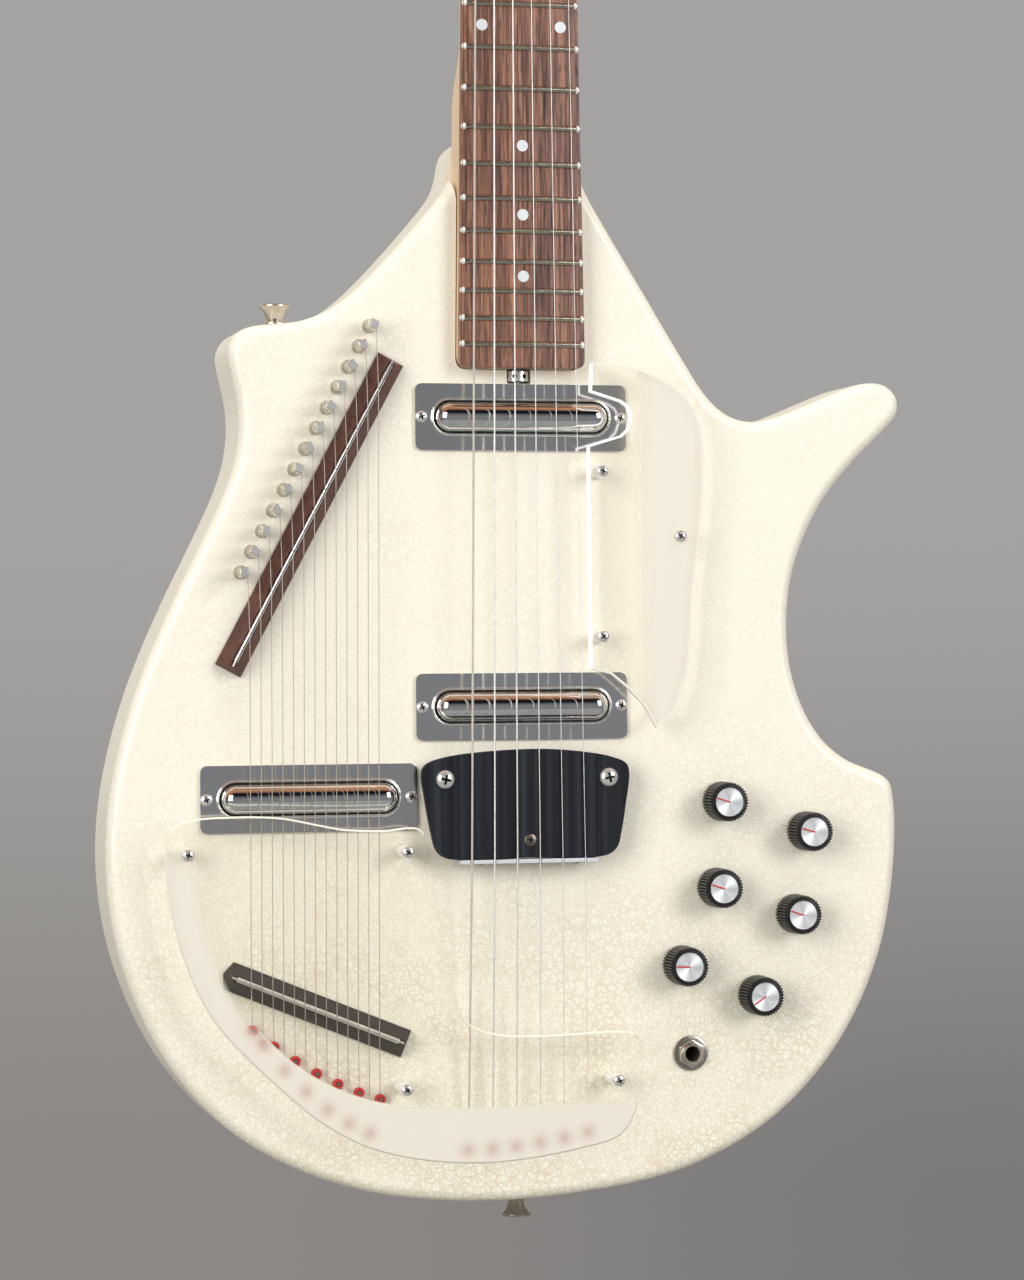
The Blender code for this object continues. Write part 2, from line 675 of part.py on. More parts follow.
def neck_shaft_mesh():
    """The neck from its heel in the body to the headstock."""
    heel_start = BOARD_END + HEEL_LENGTH
    heel_blend_end = heel_start + HEEL_BLEND
    stations = (
        (heel_start, HEEL_DEPTH, 14),
        (heel_start + HEEL_BLEND / 3, HEEL_DEPTH - 0.5 * MM, 7),
        (heel_start + HEEL_BLEND * 2 / 3, NECK_DEPTH_AT_HEEL, 3.4),
        (heel_blend_end, NECK_DEPTH_AT_HEEL, 2.4),
        (heel_blend_end / 2, (NECK_DEPTH_AT_HEEL + NECK_DEPTH_AT_NUT) / 2, 2.3),
        (-NUT_FLARE, NECK_DEPTH_AT_NUT, 2.3), (-0.4 * NUT_FLARE, NECK_DEPTH_AT_NUT + 0.8 * MM, 2.5),
        (0.15 * NUT_FLARE, HEADSTOCK_THICKNESS, 4.0),
        (0.45 * NUT_FLARE, HEADSTOCK_THICKNESS - 3 * MM, 4.0))
    rings = []
    for step in range(4):
        angle = step / 3 * math.pi / 2
        z = BOARD_END + POCKET_CORNER * (1 - math.sin(angle))
        inset = POCKET_CORNER * (1 - math.cos(angle))
        rings.insert(0, neck_ring(z, board_half_width(z) - inset, HEEL_DEPTH, 14))
    for z, depth, squareness in stations:
        rings.append(neck_ring(z, board_half_width(min(z, 0)), depth, squareness))
    return loft("neck_shaft", rings)


def string_at_post(index):
    """X and Z where a main string meets its post, on the string's straight line."""
    z = FIRST_POST + index * POST_STEP
    return string_x(index, z), z


def post_clearance():
    """Distance from a post's axis to its string's middle."""
    return POST_WINDING_RADIUS + SEAT + STRING_RADII[0]


def post_line():
    """The first post, the unit direction of the row of posts, and their distance."""
    beside = Vector((-post_clearance(), 0))
    first = Vector(string_at_post(0)) + beside
    last = Vector(string_at_post(STRING_COUNT - 1)) + beside
    run = last - first
    return first, run.normalized(), run.length / (STRING_COUNT - 1)


def post_place(index):
    """X and Z of a tuner post on the straight row of posts."""
    first, along, pitch = post_line()
    place = first + along * pitch * index
    return place.x, place.y


def headstock_outline():
    """The headstock: its bass edge runs along the row of posts."""
    first, along, pitch = post_line()
    outward = Vector((-along.y, along.x))
    low = first + outward * HEADSTOCK_MARGIN
    high = first + along * pitch * (STRING_COUNT - 1) + outward * HEADSTOCK_MARGIN
    treble = spline(metres(HEADSTOCK_TREBLE_KNOTS), 3, False)
    neck_half = BOARD_HALF_AT_NUT
    bass_knots = [tuple(high + along * 4 * MM), tuple(low.lerp(high, 0.5)), tuple(low),
                  (low.x + 3.2 * MM, low.y - 10 * MM), (-neck_half - 3.0 * MM, 10 * MM),
                  (-neck_half, 0), (-neck_half, -6 * MM)]
    return treble + spline(bass_knots, 3, False)


def neck_bolt_places():
    """X and Z of the four neck bolts."""
    half_x = NECK_BOLT_SPACING[0] / 2
    half_z = NECK_BOLT_SPACING[1] / 2
    return [(side_x * half_x, NECK_PLATE_CENTRE + side_z * half_z)
            for side_x in (-1, 1) for side_z in (-1, 1)]


def truss_rod_y():
    """Depth of the truss rod: its wheel stands just under the strings' side of the body's front."""
    return BODY_FRONT - 2 * MM + TRUSS_WHEEL_RADIUS


def neck_mesh():
    """Neck and headstock in one piece, with the rod's channel and the holes for posts and bolts."""
    face = BOARD_THICKNESS + SEAT
    headstock = prism("headstock", headstock_outline(), face, face + HEADSTOCK_THICKNESS)
    neck = joined(neck_shaft_mesh(), headstock)
    channel_half = TRUSS_ROD_RADIUS + SEAT
    channel = box("channel", (-channel_half, 0, BOARD_END - MM),
                  (channel_half, truss_rod_y() + channel_half, -TRUSS_ROD_TOP + SEAT))
    hole_radius = POST_RADIUS + 2 * RUNNING
    back = face + HEADSTOCK_THICKNESS + MM
    holes = [rod("post_hole", (x, 0, z), (x, back, z), hole_radius, 8)
             for x, z in (post_place(index) for index in range(STRING_COUNT))]
    heel_back = face + HEEL_DEPTH
    holes += [rod("bolt_hole", (x, heel_back - NECK_BOLT_REACH, z), (x, heel_back + MM, z),
                  NECK_BOLT_RADIUS + SEAT, 8) for x, z in neck_bolt_places()]
    return cut(neck, channel, gathered("neck_holes", holes))


def truss_wheel_mesh():
    """The wheel that turns on the rod's thread, with its ring of tommy-bar holes (axis Z)."""
    length = TRUSS_WHEEL_LENGTH
    sides = 2 * TRUSS_WHEEL_HOLES
    wheel = rod("truss_wheel", (0, 0, 0), (0, 0, -length), TRUSS_WHEEL_RADIUS, sides)
    bore = rod("bore", (0, 0, MM), (0, 0, -length - MM), TRUSS_ROD_RADIUS + RUNNING, 12)
    holes = []
    for number in range(TRUSS_WHEEL_HOLES):
        angle = math.pi / 2 + 2 * math.pi * (number + 0.5) / TRUSS_WHEEL_HOLES
        outwards = Vector((math.cos(angle), math.sin(angle), 0))
        middle = Vector((0, 0, -length / 2))
        holes.append(rod("hole", middle + outwards * (TRUSS_ROD_RADIUS + 1.1 * MM),
                         middle + outwards * (TRUSS_WHEEL_RADIUS + MM), TRUSS_WHEEL_HOLE_RADIUS, 6))
    return cut(wheel, bore, gathered("wheel_holes", holes))


# Tuners, in the frame of the row of posts: +Z along the row, -X outwards to the buttons

def gear_pitch_radius():
    """The wheel's teeth have the worm's pitch along its pitch circle."""
    return GEAR_TEETH * WORM_PITCH / (2 * math.pi)


def worm_offset():
    """Distance between the axes of post and worm."""
    return gear_pitch_radius() + WORM_PITCH_RADIUS


def plate_back():
    """Y of the tuner plate's outer face."""
    return BOARD_THICKNESS + HEADSTOCK_THICKNESS + 2 * SEAT + TUNER_PLATE_THICKNESS


def worm_y():
    """Y of the worms' axes, clear of the tuner plate."""
    return plate_back() + RUNNING + WORM_PITCH_RADIUS + TOOTH_REACH


def gear_mesh():
    """The worm wheel: its teeth are twisted by the worm's lead and stand between its threads."""
    pitch_radius = gear_pitch_radius()
    tip = pitch_radius + TOOTH_REACH
    root = tip - TOOTH_DEPTH
    lead = WORM_PITCH / (2 * math.pi * WORM_PITCH_RADIUS)
    rings = []
    for side in (-0.5, 0.5):
        ring = []
        twist = side * GEAR_WIDTH * lead / pitch_radius
        for tooth in range(GEAR_TEETH):
            centre = 2 * math.pi * (tooth + 0.5 - WORM_TURNS / 2) / GEAR_TEETH + twist
            for radius, angle in ((root, centre - math.pi / GEAR_TEETH),
                                  (tip, centre - TOOTH_TIP_HALF / tip),
                                  (tip, centre + TOOTH_TIP_HALF / tip)):
                ring.append((radius * math.sin(angle), worm_y() + side * GEAR_WIDTH,
                             radius * math.cos(angle)))
        rings.append(ring)
    return loft("gear", rings)


def post_mesh():
    """A tuner post: capstan with its string windings in front, worm wheel behind."""
    face = BOARD_THICKNESS + SEAT
    winding = face - POST_WINDING_HEIGHT
    half = POST_WINDING_LENGTH / 2
    tip = face - POST_HEIGHT
    end = worm_y() + GEAR_WIDTH / 2 + 1.2 * MM
    profile = ((0, tip), (POST_RADIUS - 0.6 * MM, tip), (POST_RADIUS, tip + 0.8 * MM),
               (POST_RADIUS, winding - 2 * half - 2 * MM), (POST_WAIST_RADIUS, winding - 2 * half),
               (POST_WAIST_RADIUS, winding - half), (POST_WINDING_RADIUS, winding - half),
               (POST_WINDING_RADIUS, winding + half), (POST_RADIUS, winding + half),
               (POST_RADIUS, end), (0, end))
    return joined(turned("post", profile, 8, (0, 1, 0)), gear_mesh())


def worm_mesh():
    """The worm, one right-handed helical thread round the button's shaft (axis -X)."""
    columns = 8
    crest = WORM_PITCH_RADIUS + TOOTH_REACH
    root = crest - TOOTH_DEPTH
    rows_per_turn = ((-THREAD_ROOT_HALF, root), (-THREAD_CREST_HALF, crest),
                     (THREAD_CREST_HALF, crest), (THREAD_ROOT_HALF, root))
    start = -WORM_TURNS / 2
    rows = []
    for turn in range(WORM_TURNS):
        rows += [((start + turn) * WORM_PITCH + shift, radius) for shift, radius in rows_per_turn]
    grid = {}
    vertices = []
    for column in range(columns):
        angle = 2 * math.pi * column / columns
        for row, (shift, radius) in enumerate(rows):
            along = shift + WORM_PITCH * column / columns
            grid[(column, row)] = len(vertices)
            vertices.append(worm_point(along, radius, angle))
    step = len(rows_per_turn)
    for row in range(len(rows), len(rows) + step):
        shift, radius = rows_per_turn[row - len(rows)]
        along = (start + WORM_TURNS) * WORM_PITCH + shift
        grid[(0, row)] = len(vertices)
        vertices.append(worm_point(along, radius, 0))
    for row in range(step, len(rows) + step):
        grid[(columns, row - step)] = grid[(0, row)]
    faces = []
    for column in range(columns):
        for row in range(len(rows) - 1):
            faces.append((grid[(column, row)], grid[(column + 1, row)],
                          grid[(column + 1, row + 1)], grid[(column, row + 1)]))
    low_loop = [grid[(column, 0)] for column in range(columns + 1)]
    low_loop += [grid[(0, row)] for row in range(step - 1, 0, -1)]
    last = len(rows) - 1
    high_loop = [grid[(column, last)] for column in range(columns + 1)]
    high_loop += [grid[(0, row)] for row in range(last + step - 1, last, -1)]
    for loop, along in ((low_loop, start * WORM_PITCH - THREAD_ROOT_HALF),
                        (high_loop, (start + WORM_TURNS) * WORM_PITCH + THREAD_ROOT_HALF)):
        hub = len(vertices)
        vertices.append(worm_point(along, 0, 0))
        faces += [(hub, loop[place], loop[(place + 1) % len(loop)]) for place in range(len(loop))]
    return make_mesh("worm", vertices, faces)


def worm_point(along, radius, angle):
    """A point of the worm, at an angle from the side that faces the wheel."""
    return (-along, worm_y() - radius * math.sin(angle), worm_offset() - radius * math.cos(angle))


def lug_places():
    """Distances of the two bearing lugs' middles from the worm's middle."""
    worm_half = WORM_PITCH * (WORM_TURNS + 1) / 2 + THREAD_ROOT_HALF
    return -(worm_half + RUNNING + LUG_THICKNESS / 2), worm_half + RUNNING + LUG_THICKNESS / 2


def button_mesh():
    """A button on its shaft, with the worm at the shaft's inner end."""
    inner, outer = lug_places()
    shaft_start = inner - LUG_THICKNESS
    collar = HEADSTOCK_MARGIN + 1.5 * MM
    shaft = BUTTON_SHAFT_RADIUS
    profile = ((0, shaft_start), (shaft, shaft_start), (shaft, collar), (2 * shaft, collar),
               (2 * shaft, collar + 2 * MM), (0.7 * BUTTON_RADIUS, collar + 3.2 * MM),
               (BUTTON_RADIUS, collar + 0.45 * BUTTON_LENGTH), (BUTTON_RADIUS, collar + 0.7 * BUTTON_LENGTH),
               (0.75 * BUTTON_RADIUS, collar + 0.95 * BUTTON_LENGTH), (0, collar + BUTTON_LENGTH))
    centre = (0, worm_y(), worm_offset())
    button = turned("button", profile, 8, (-1, 0, 0), centre)
    flat_from = -collar - 3 * MM
    for vertex in button.vertices:
        if vertex.co.x < flat_from:
            vertex.co.y = worm_y() + (vertex.co.y - worm_y()) * BUTTON_FLATNESS
    return joined(button, worm_mesh())


def tuner_plate_mesh():
    """The long strip on the headstock's back, with two bearing lugs for each worm."""
    _, _, pitch = post_line()
    inner, outer = lug_places()
    back = plate_back()
    reach = POST_RADIUS + 2 * RUNNING
    edge = 2.5 * MM
    low_z = -reach - edge
    high_z = pitch * (STRING_COUNT - 1) + worm_offset() + LUG_WIDTH / 2 + edge
    size = (outer - inner + LUG_THICKNESS + 2 * edge, high_z - low_z)
    centre = (-(inner + outer) / 2, (high_z + low_z) / 2)
    strip = prism("strip", rectangle(centre, size, edge), back - TUNER_PLATE_THICKNESS, back)
    lugs = []
    bores = []
    for index in range(STRING_COUNT):
        z = pitch * index
        for place in (inner, outer):
            half = LUG_THICKNESS / 2
            lugs.append(box("lug", (-place - half, back - TUNER_PLATE_THICKNESS / 2,
                                    z + worm_offset() - LUG_WIDTH / 2),
                            (-place + half, worm_y() + LUG_WIDTH / 2, z + worm_offset() + LUG_WIDTH / 2)))
        bores.append(rod("bore", (-inner + MM, worm_y(), z + worm_offset()),
                         (-outer - MM, worm_y(), z + worm_offset()), BUTTON_SHAFT_RADIUS + RUNNING, 6))
        bores.append(rod("bore", (0, back - 2 * TUNER_PLATE_THICKNESS, z), (0, back + MM, z), reach, 8))
    return cut(joined(strip, gathered("lugs", lugs)), gathered("bores", bores))


# Body

def cavity_outline(distance):
    """The control cavity's outline, grown by a distance."""
    corners = grown(on_body(CAVITY_CORNERS), distance)
    return round_corners(corners, CAVITY_CORNER_RADIUS + distance)


def pin_place(index):
    """X and Z of a drone tuning pin."""
    return PIN_FIRST[0] + index * PIN_STEP[0], PIN_FIRST[1] + index * PIN_STEP[1]


def body_mesh():
    """The body: rounded edges, neck pocket, pickup routes, control cavity and holes."""
    outline = flowing(spline(on_body(BODY_KNOTS), 6, False), OUTLINE_TURN, OUTLINE_REACH)
    block = rounded_slab("body", outline, BODY_FRONT, BODY_BACK, BODY_EDGE_RADIUS, 2)
    above = BODY_FRONT - TOOL_REACH
    floor = BODY_FRONT + POCKET_DEPTH
    end = BOARD_END - SEAT
    tip = BOARD_END + POCKET_LENGTH
    wide = 2 * BOARD_HALF_AT_END
    top = max(z for _, z in outline) + TOOL_REACH
    end_half = board_half_width(end) + SEAT
    tip_half = board_half_width(tip) + SEAT
    pocket_end = round_corners([(-end_half, end), (end_half, end), (end_half, end + 3 * POCKET_CORNER),
                                (-end_half, end + 3 * POCKET_CORNER)], POCKET_CORNER)
    corner_points = len(pocket_end) // 2
    pocket = pocket_end[:corner_points] + [(tip_half, tip), (wide, tip), (wide, top),
                                           (-wide, top), (-wide, tip), (-tip_half, tip)]
    wheel_half = TRUSS_WHEEL_RADIUS + RUNNING
    wheel_slot = box("wheel_slot", (-wheel_half, above, end - TRUSS_WHEEL_LENGTH - 3 * RUNNING),
                     (wheel_half, truss_rod_y() + wheel_half, end + 2 * MM))
    routes = [prism("route", stadium(place, TUBE_LENGTH + 2 * MM, 2 * TUBE_RADIUS + 1.6 * MM, 3),
                    above, BODY_FRONT + PICKUP_ROUTE_DEPTH) for place in PICKUPS.values()]
    cavity = prism("cavity", cavity_outline(0), BODY_FRONT + FRONT_WALL, BODY_BACK + MM)
    rebate = prism("rebate", cavity_outline(COVER_LEDGE), BODY_BACK - COVER_THICKNESS - SEAT,
                   BODY_BACK + MM)
    holes = [rod("shaft_hole", (x, above, z), (x, BODY_FRONT + FRONT_WALL + MM, z),
                 BUSHING_RADIUS + SEAT, 8) for x, z in KNOB_PLACES]
    holes.append(rod("jack_hole", (JACK_PLACE[0], above, JACK_PLACE[1]),
                     (JACK_PLACE[0], BODY_FRONT + FRONT_WALL + MM, JACK_PLACE[1]),
                     JACK_BUSHING_RADIUS + SEAT, 12))
    pin_floor = BODY_FRONT + PIN_DEPTH + SEAT
    holes += [rod("pin_hole", (x, above, z), (x, pin_floor, z), PIN_RADIUS + 2 * RUNNING, 6)
              for x, z in (pin_place(index) for index in range(DRONE_COUNT))]
    holes += [rod("bolt_hole", (x, floor - MM, z), (x, BODY_BACK + MM, z), NECK_BOLT_RADIUS + SEAT, 8)
              for x, z in neck_bolt_places()]
    for (x, z), inwards in ((STRAP_UPPER, -1), (STRAP_LOWER, 1)):
        holes.append(rod("strap_hole", (x, BODY_MIDDLE, z - inwards * 9 * MM),
                         (x, BODY_MIDDLE, z + inwards * (STRAP_SCREW_LENGTH + SEAT)),
                         STRAP_SCREW_RADIUS + SEAT, 8))
    return cut(block, prism("pocket", pocket, above, floor), wheel_slot, gathered("routes", routes),
               cavity, rebate, gathered("holes", holes))


# Pickups

def pickup_tube_mesh(place):
    """A chrome tube with domed ends, lying across the strings."""
    straight = TUBE_LENGTH / 2 - TUBE_RADIUS
    rings = []
    for side in (-1, 1):
        shares = (0.35, 0.75, 1.0) if side < 0 else (1.0, 0.75, 0.35)
        for share in shares:
            reach = TUBE_RADIUS * math.sqrt(1 - share * share)
            x = place[0] + side * (straight + reach)
            rings.append([(x, front(TUBE_CENTRE_HEIGHT) + share * TUBE_RADIUS * math.sin(angle),
                           place[1] + share * TUBE_RADIUS * math.cos(angle))
                          for angle in (2 * math.pi * corner / 10 for corner in range(10))])
    return loft("tube", rings)


def bezel_mesh(place):
    """A flat metal bezel with a raised lip round the tube."""
    steps = 3
    clear = 0.6 * MM
    inner = stadium(place, TUBE_LENGTH + 2 * clear, 2 * (TUBE_RADIUS + clear), steps)
    lip = stadium(place, TUBE_LENGTH + 2 * (clear + BEZEL_LIP_WALL),
                  2 * (TUBE_RADIUS + clear + BEZEL_LIP_WALL), steps)
    outer = rectangle(place, BEZEL_SIZE, BEZEL_CORNER, steps)
    seat = front(SEAT)
    top = seat - BEZEL_THICKNESS
    lip_top = seat - BEZEL_LIP_HEIGHT
    rows = ((outer, seat), (outer, top), (lip, top), (lip, lip_top), (inner, lip_top), (inner, seat))
    return loft("bezel", [[(x, y, z) for x, z in outline] for outline, y in rows], ring_closed=True)


# Bridge

def bridge_base_mesh():
    """The chromed base with its two height screws, whose heads stand on the buzz plate."""
    top = BUZZ_PLATE_EAR_TOP - BUZZ_PLATE_THICKNESS - SEAT
    base = prism("base", rectangle((0, BRIDGE_BASE_CENTRE), BRIDGE_BASE_SIZE, BRIDGE_BASE_CORNER),
                 front(SEAT), front(top))
    head_radius, head_height = BRIDGE_SCREW_HEAD
    under_head = BUZZ_PLATE_EAR_TOP + SEAT
    profile = ((0, top - MM), (BRIDGE_SCREW_RADIUS, top - MM), (BRIDGE_SCREW_RADIUS, under_head),
               (head_radius, under_head), (head_radius, under_head + head_height * 0.4),
               (head_radius * 0.6, under_head + head_height), (0, under_head + head_height))
    screws = [turned("screw", profile, 10, (0, -1, 0), (x, BODY_FRONT, z)) for x, z in BRIDGE_SCREWS]
    return joined(base, gathered("screws", screws))


def buzz_plate_mesh():
    """The black plate under the strings, with a raised middle and two ears for the screws."""
    outline = spline(on_body(BUZZ_PLATE_KNOTS), 2, True)
    bottom = BUZZ_PLATE_EAR_TOP - BUZZ_PLATE_THICKNESS
    plate = prism("plate", outline, front(bottom), front(BUZZ_PLATE_EAR_TOP))
    low = min(z for _, z in outline)
    high = max(z for _, z in outline)
    edge = 1.2 * MM
    rings = []
    for x, rise in ((-BUZZ_HUMP_HALF, -0.2 * MM), (-BUZZ_HUMP_HALF + edge, BUZZ_HUMP_RISE),
                    (BUZZ_HUMP_HALF - edge, BUZZ_HUMP_RISE), (BUZZ_HUMP_HALF, -0.2 * MM)):
        rings.append([(x, front(BUZZ_PLATE_EAR_TOP - MM), low + 0.4 * MM),
                      (x, front(BUZZ_PLATE_EAR_TOP - MM), high - 5.5 * MM),
                      (x, front(BUZZ_PLATE_EAR_TOP + rise), high - 7.5 * MM),
                      (x, front(BUZZ_PLATE_EAR_TOP + rise), low + 1.4 * MM)])
    plate = joined(plate, loft("hump", rings))
    holes = [rod("hole", (x, front(bottom - MM), z), (x, front(BUZZ_PLATE_EAR_TOP + MM), z),
                 BRIDGE_SCREW_RADIUS + SEAT, 10) for x, z in BRIDGE_SCREWS]
    return cut(plate, gathered("holes", holes))


def ball_end(place):
    """The string's end: a ball on its pin, standing on the body."""
    profile = ((0, SEAT), (BALL_END_RADIUS, SEAT), (BALL_END_RADIUS, BALL_END_HEIGHT), (0, BALL_END_HEIGHT))
    return turned("ball", profile, 6, (0, -1, 0), (place[0], BODY_FRONT, place[1]))


def string_tail(index):
    """X and Z where a main string ends, on a shallow curve."""
    share = index / (STRING_COUNT - 1)
    first_x, first_z = STRING_TAIL_FIRST
    return first_x + index * STRING_TAIL_STEP, first_z + STRING_TAIL_RISE * share ** 2


def main_strings_mesh():
    """The six main strings, from their ball ends over the saddle strip and the nut to the posts."""
    length, depth, height = SADDLE_STRIP
    strip_top = SADDLE_STRING_HEIGHT
    strip = box("strip", (-length / 2, front(strip_top), SADDLE_Z - depth / 2),
                (length / 2, front(strip_top - height), SADDLE_Z + depth / 2))
    pieces = []
    for index in range(STRING_COUNT):
        radius = STRING_RADII[index]
        tail_x, tail_z = string_tail(index)
        post_x, post_z = post_place(index)
        winding = BOARD_THICKNESS + SEAT - POST_WINDING_HEIGHT
        points = [(tail_x, front(BALL_END_HEIGHT / 2), tail_z),
                  (string_x(index, SADDLE_Z), front(SADDLE_STRING_HEIGHT), SADDLE_Z),
                  (string_x(index, 0), -NUT_STRING_HEIGHT, NUT_LENGTH + SEAT),
                  (post_x + post_clearance(), winding, post_z)]
        pieces.append(joined(wire("string", points, radius), ball_end((tail_x, tail_z))))
    return joined(strip, gathered("strings", pieces))


# Drone strings

def drone_saddle_height():
    """Height of the drone strings' middles over the saddle rods."""
    return DRONE_BRIDGE_HEIGHT + SEAT + 2 * SADDLE_ROD_RADIUS


def drone_tail(index):
    """X and Z where a drone string ends: two staggered rows, each on a shallow curve."""
    x = DRONE_FIRST_X - index * DRONE_PITCH + 1.6 * MM
    near = index % 2 == 0 and index < DRONE_COUNT - 1
    start, slope, bend = DRONE_NEAR_TAIL if near else DRONE_FAR_TAIL
    distance = DRONE_FIRST_X + 1.6 * MM - x - (0 if near else DRONE_PITCH)
    return x, start + slope * distance + bend * distance ** 2


def on_line(ends, x):
    """Z of the line through two ends, at x."""
    share = (x - ends[0][0]) / (ends[1][0] - ends[0][0])
    return ends[0][1] + (ends[1][1] - ends[0][1]) * share


def drone_strings_mesh():
    """The thirteen drone strings with the two saddle rods that they press on."""
    height = drone_saddle_height()
    pieces = []
    for index in range(DRONE_COUNT):
        x = DRONE_FIRST_X - index * DRONE_PITCH
        pin_x, pin_z = pin_place(index)
        start_x = pin_x + PIN_RADIUS + SEAT + DRONE_RADIUS
        tail_x, tail_z = drone_tail(index)
        upper_x = start_x + (x - start_x) * 0.2
        points = [(tail_x, front(BALL_END_HEIGHT / 2), tail_z),
                  (x, front(height), on_line(LOWER_SADDLE_ENDS, x)),
                  (upper_x, front(height), on_line(UPPER_SADDLE_ENDS, upper_x)),
                  (start_x, front(PIN_STRING_HEIGHT), pin_z)]
        pieces.append(joined(wire("drone", points, DRONE_RADIUS, 3), ball_end((tail_x, tail_z))))
    rods = []
    rod_height = height - SADDLE_ROD_RADIUS
    for ends in (UPPER_SADDLE_ENDS, LOWER_SADDLE_ENDS):
        rods.append(rod("saddle", (ends[0][0], front(rod_height), ends[0][1]),
                        (ends[1][0], front(rod_height), ends[1][1]), SADDLE_ROD_RADIUS, 6))
    return joined(gathered("rods", rods), gathered("drones", pieces))


def drone_bridge_mesh(ends, overhang, point):
    """A ridged wooden bar under a saddle rod; point makes its first end an arrow."""
    start = Vector(ends[0])
    end = Vector(ends[1])
    along = (end - start).normalized()
    across = Vector((-along.y, along.x))
    half = DRONE_BRIDGE_HALF_WIDTH
    ridge = DRONE_BRIDGE_RIDGE_HALF
    levels = ((half, SEAT), (half, 1.2 * MM), (ridge, DRONE_BRIDGE_HEIGHT))
    rings = []
    for width, height in levels:
        tip = start - along * (overhang[0] + point * width / half)
        low = start - along * overhang[0]
        high = end + along * overhang[1]
        corners = (tip, low + across * width, high + across * width, high - across * width,
                   low - across * width)
        rings.append([(corner.x, front(height), corner.y) for corner in corners])
    return loft("drone_bridge", rings)


def pin_mesh():
    """A zither pin: a round shank in the body, and a square head with a domed top."""
    rings = []
    for height in (-PIN_DEPTH, PIN_SHOULDER):
        rings.append([(PIN_RADIUS * math.cos(math.pi / 4 * side), -height,
                       PIN_RADIUS * math.sin(math.pi / 4 * side)) for side in range(8)])
    for height, half in ((PIN_SHOULDER + PIN_FLARE, PIN_SQUARE_HALF),
                         (PIN_HEIGHT - 1.2 * MM, PIN_SQUARE_HALF), (PIN_HEIGHT, PIN_SQUARE_HALF * 0.5)):
        square = ((1, 0), (1, 1), (0, 1), (-1, 1), (-1, 0), (-1, -1), (0, -1), (1, -1))
        rings.append([(x * half, -height, z * half) for x, z in square])
    return loft("pin", rings)


# Controls

def knob_mesh():
    """A fluted knob on its shaft, its axis on Y at the body's front."""
    rings = []
    top = KNOB_HEIGHT
    corners = 2 * KNOB_FLUTES
    for radius, depth, height in ((KNOB_RADIUS, KNOB_FLUTE_DEPTH, KNOB_GAP),
                                  (KNOB_RADIUS - 0.3 * MM, KNOB_FLUTE_DEPTH, top - KNOB_SHOULDER),
                                  (KNOB_DISC_RADIUS, 0, top)):
        ring = []
        for corner in range(corners):
            angle = 2 * math.pi * corner / corners
            reach = radius - (corner % 2) * depth
            ring.append((reach * math.cos(angle), -height, reach * math.sin(angle)))
        rings.append(ring)
    depth = FRONT_WALL + SHIELD_THICKNESS + POT_HEIGHT - 3 * MM
    shaft = rod("shaft", (0, -top / 2, 0), (0, depth, 0), SHAFT_RADIUS, 8)
    return joined(loft("knob", rings), shaft)


def controls_mesh():
    """The six potentiometers on their shield plate, inside the cavity."""
    face = BODY_FRONT + FRONT_WALL + SEAT
    plate = prism("shield", cavity_outline(-CAVITY_SHIELD_MARGIN), face, face + SHIELD_THICKNESS)
    cans = []
    bushings = []
    bores = []
    for x, z in KNOB_PLACES:
        cans.append(rod("can", (x, face + SHIELD_THICKNESS / 2, z),
                        (x, face + SHIELD_THICKNESS + POT_HEIGHT, z), POT_RADIUS, 8))
        bushings.append(rod("bushing", (x, BODY_FRONT + SEAT, z),
                            (x, face + SHIELD_THICKNESS + MM, z), BUSHING_RADIUS, 8))
        bores.append(rod("bore", (x, BODY_FRONT - MM, z),
                         (x, face + SHIELD_THICKNESS + POT_HEIGHT - 1.5 * MM, z),
                         SHAFT_RADIUS + 2 * RUNNING, 6))
    bores.append(rod("jack_clearance", (JACK_PLACE[0], face - MM, JACK_PLACE[1]),
                     (JACK_PLACE[0], face + 2 * SHIELD_THICKNESS, JACK_PLACE[1]),
                     JACK_BARREL_RADIUS + SEAT, 12))
    return cut(joined(plate, gathered("cans", cans), gathered("bushings", bushings)),
               gathered("bores", bores))


def jack_mesh():
    """The output jack: nut and washer in front, barrel inside, and the plug's bore."""
    x, z = JACK_PLACE
    bushing_top = SEAT + JACK_WASHER_HEIGHT + JACK_NUT_HEIGHT + JACK_RISE
    inside = -FRONT_WALL - SEAT
    profile = ((0, bushing_top), (JACK_BUSHING_RADIUS - 0.4 * MM, bushing_top),
               (JACK_BUSHING_RADIUS, bushing_top - 0.5 * MM),
               (JACK_BUSHING_RADIUS, SEAT + JACK_WASHER_HEIGHT),
               (JACK_WASHER_RADIUS, SEAT + JACK_WASHER_HEIGHT), (JACK_WASHER_RADIUS, SEAT),
               (JACK_BUSHING_RADIUS, SEAT), (JACK_BUSHING_RADIUS, inside), (JACK_BARREL_RADIUS, inside),
               (JACK_BARREL_RADIUS, inside - JACK_BARREL_LENGTH), (0, inside - JACK_BARREL_LENGTH))
    barrel = turned("jack", profile, 12, (0, -1, 0), (x, BODY_FRONT, z))
    nut_low = front(SEAT + JACK_WASHER_HEIGHT / 2)
    nut_top = front(SEAT + JACK_WASHER_HEIGHT + JACK_NUT_HEIGHT)
    nut = prism("nut", circle((x, z), JACK_NUT_RADIUS, 6), nut_low, nut_top)
    bore = rod("bore", (x, front(bushing_top + MM), z), (x, BODY_FRONT + FRONT_WALL + 15 * MM, z),
               JACK_BORE_RADIUS, 12)
    return cut(joined(barrel, nut), bore)


# Clear plates and strap buttons

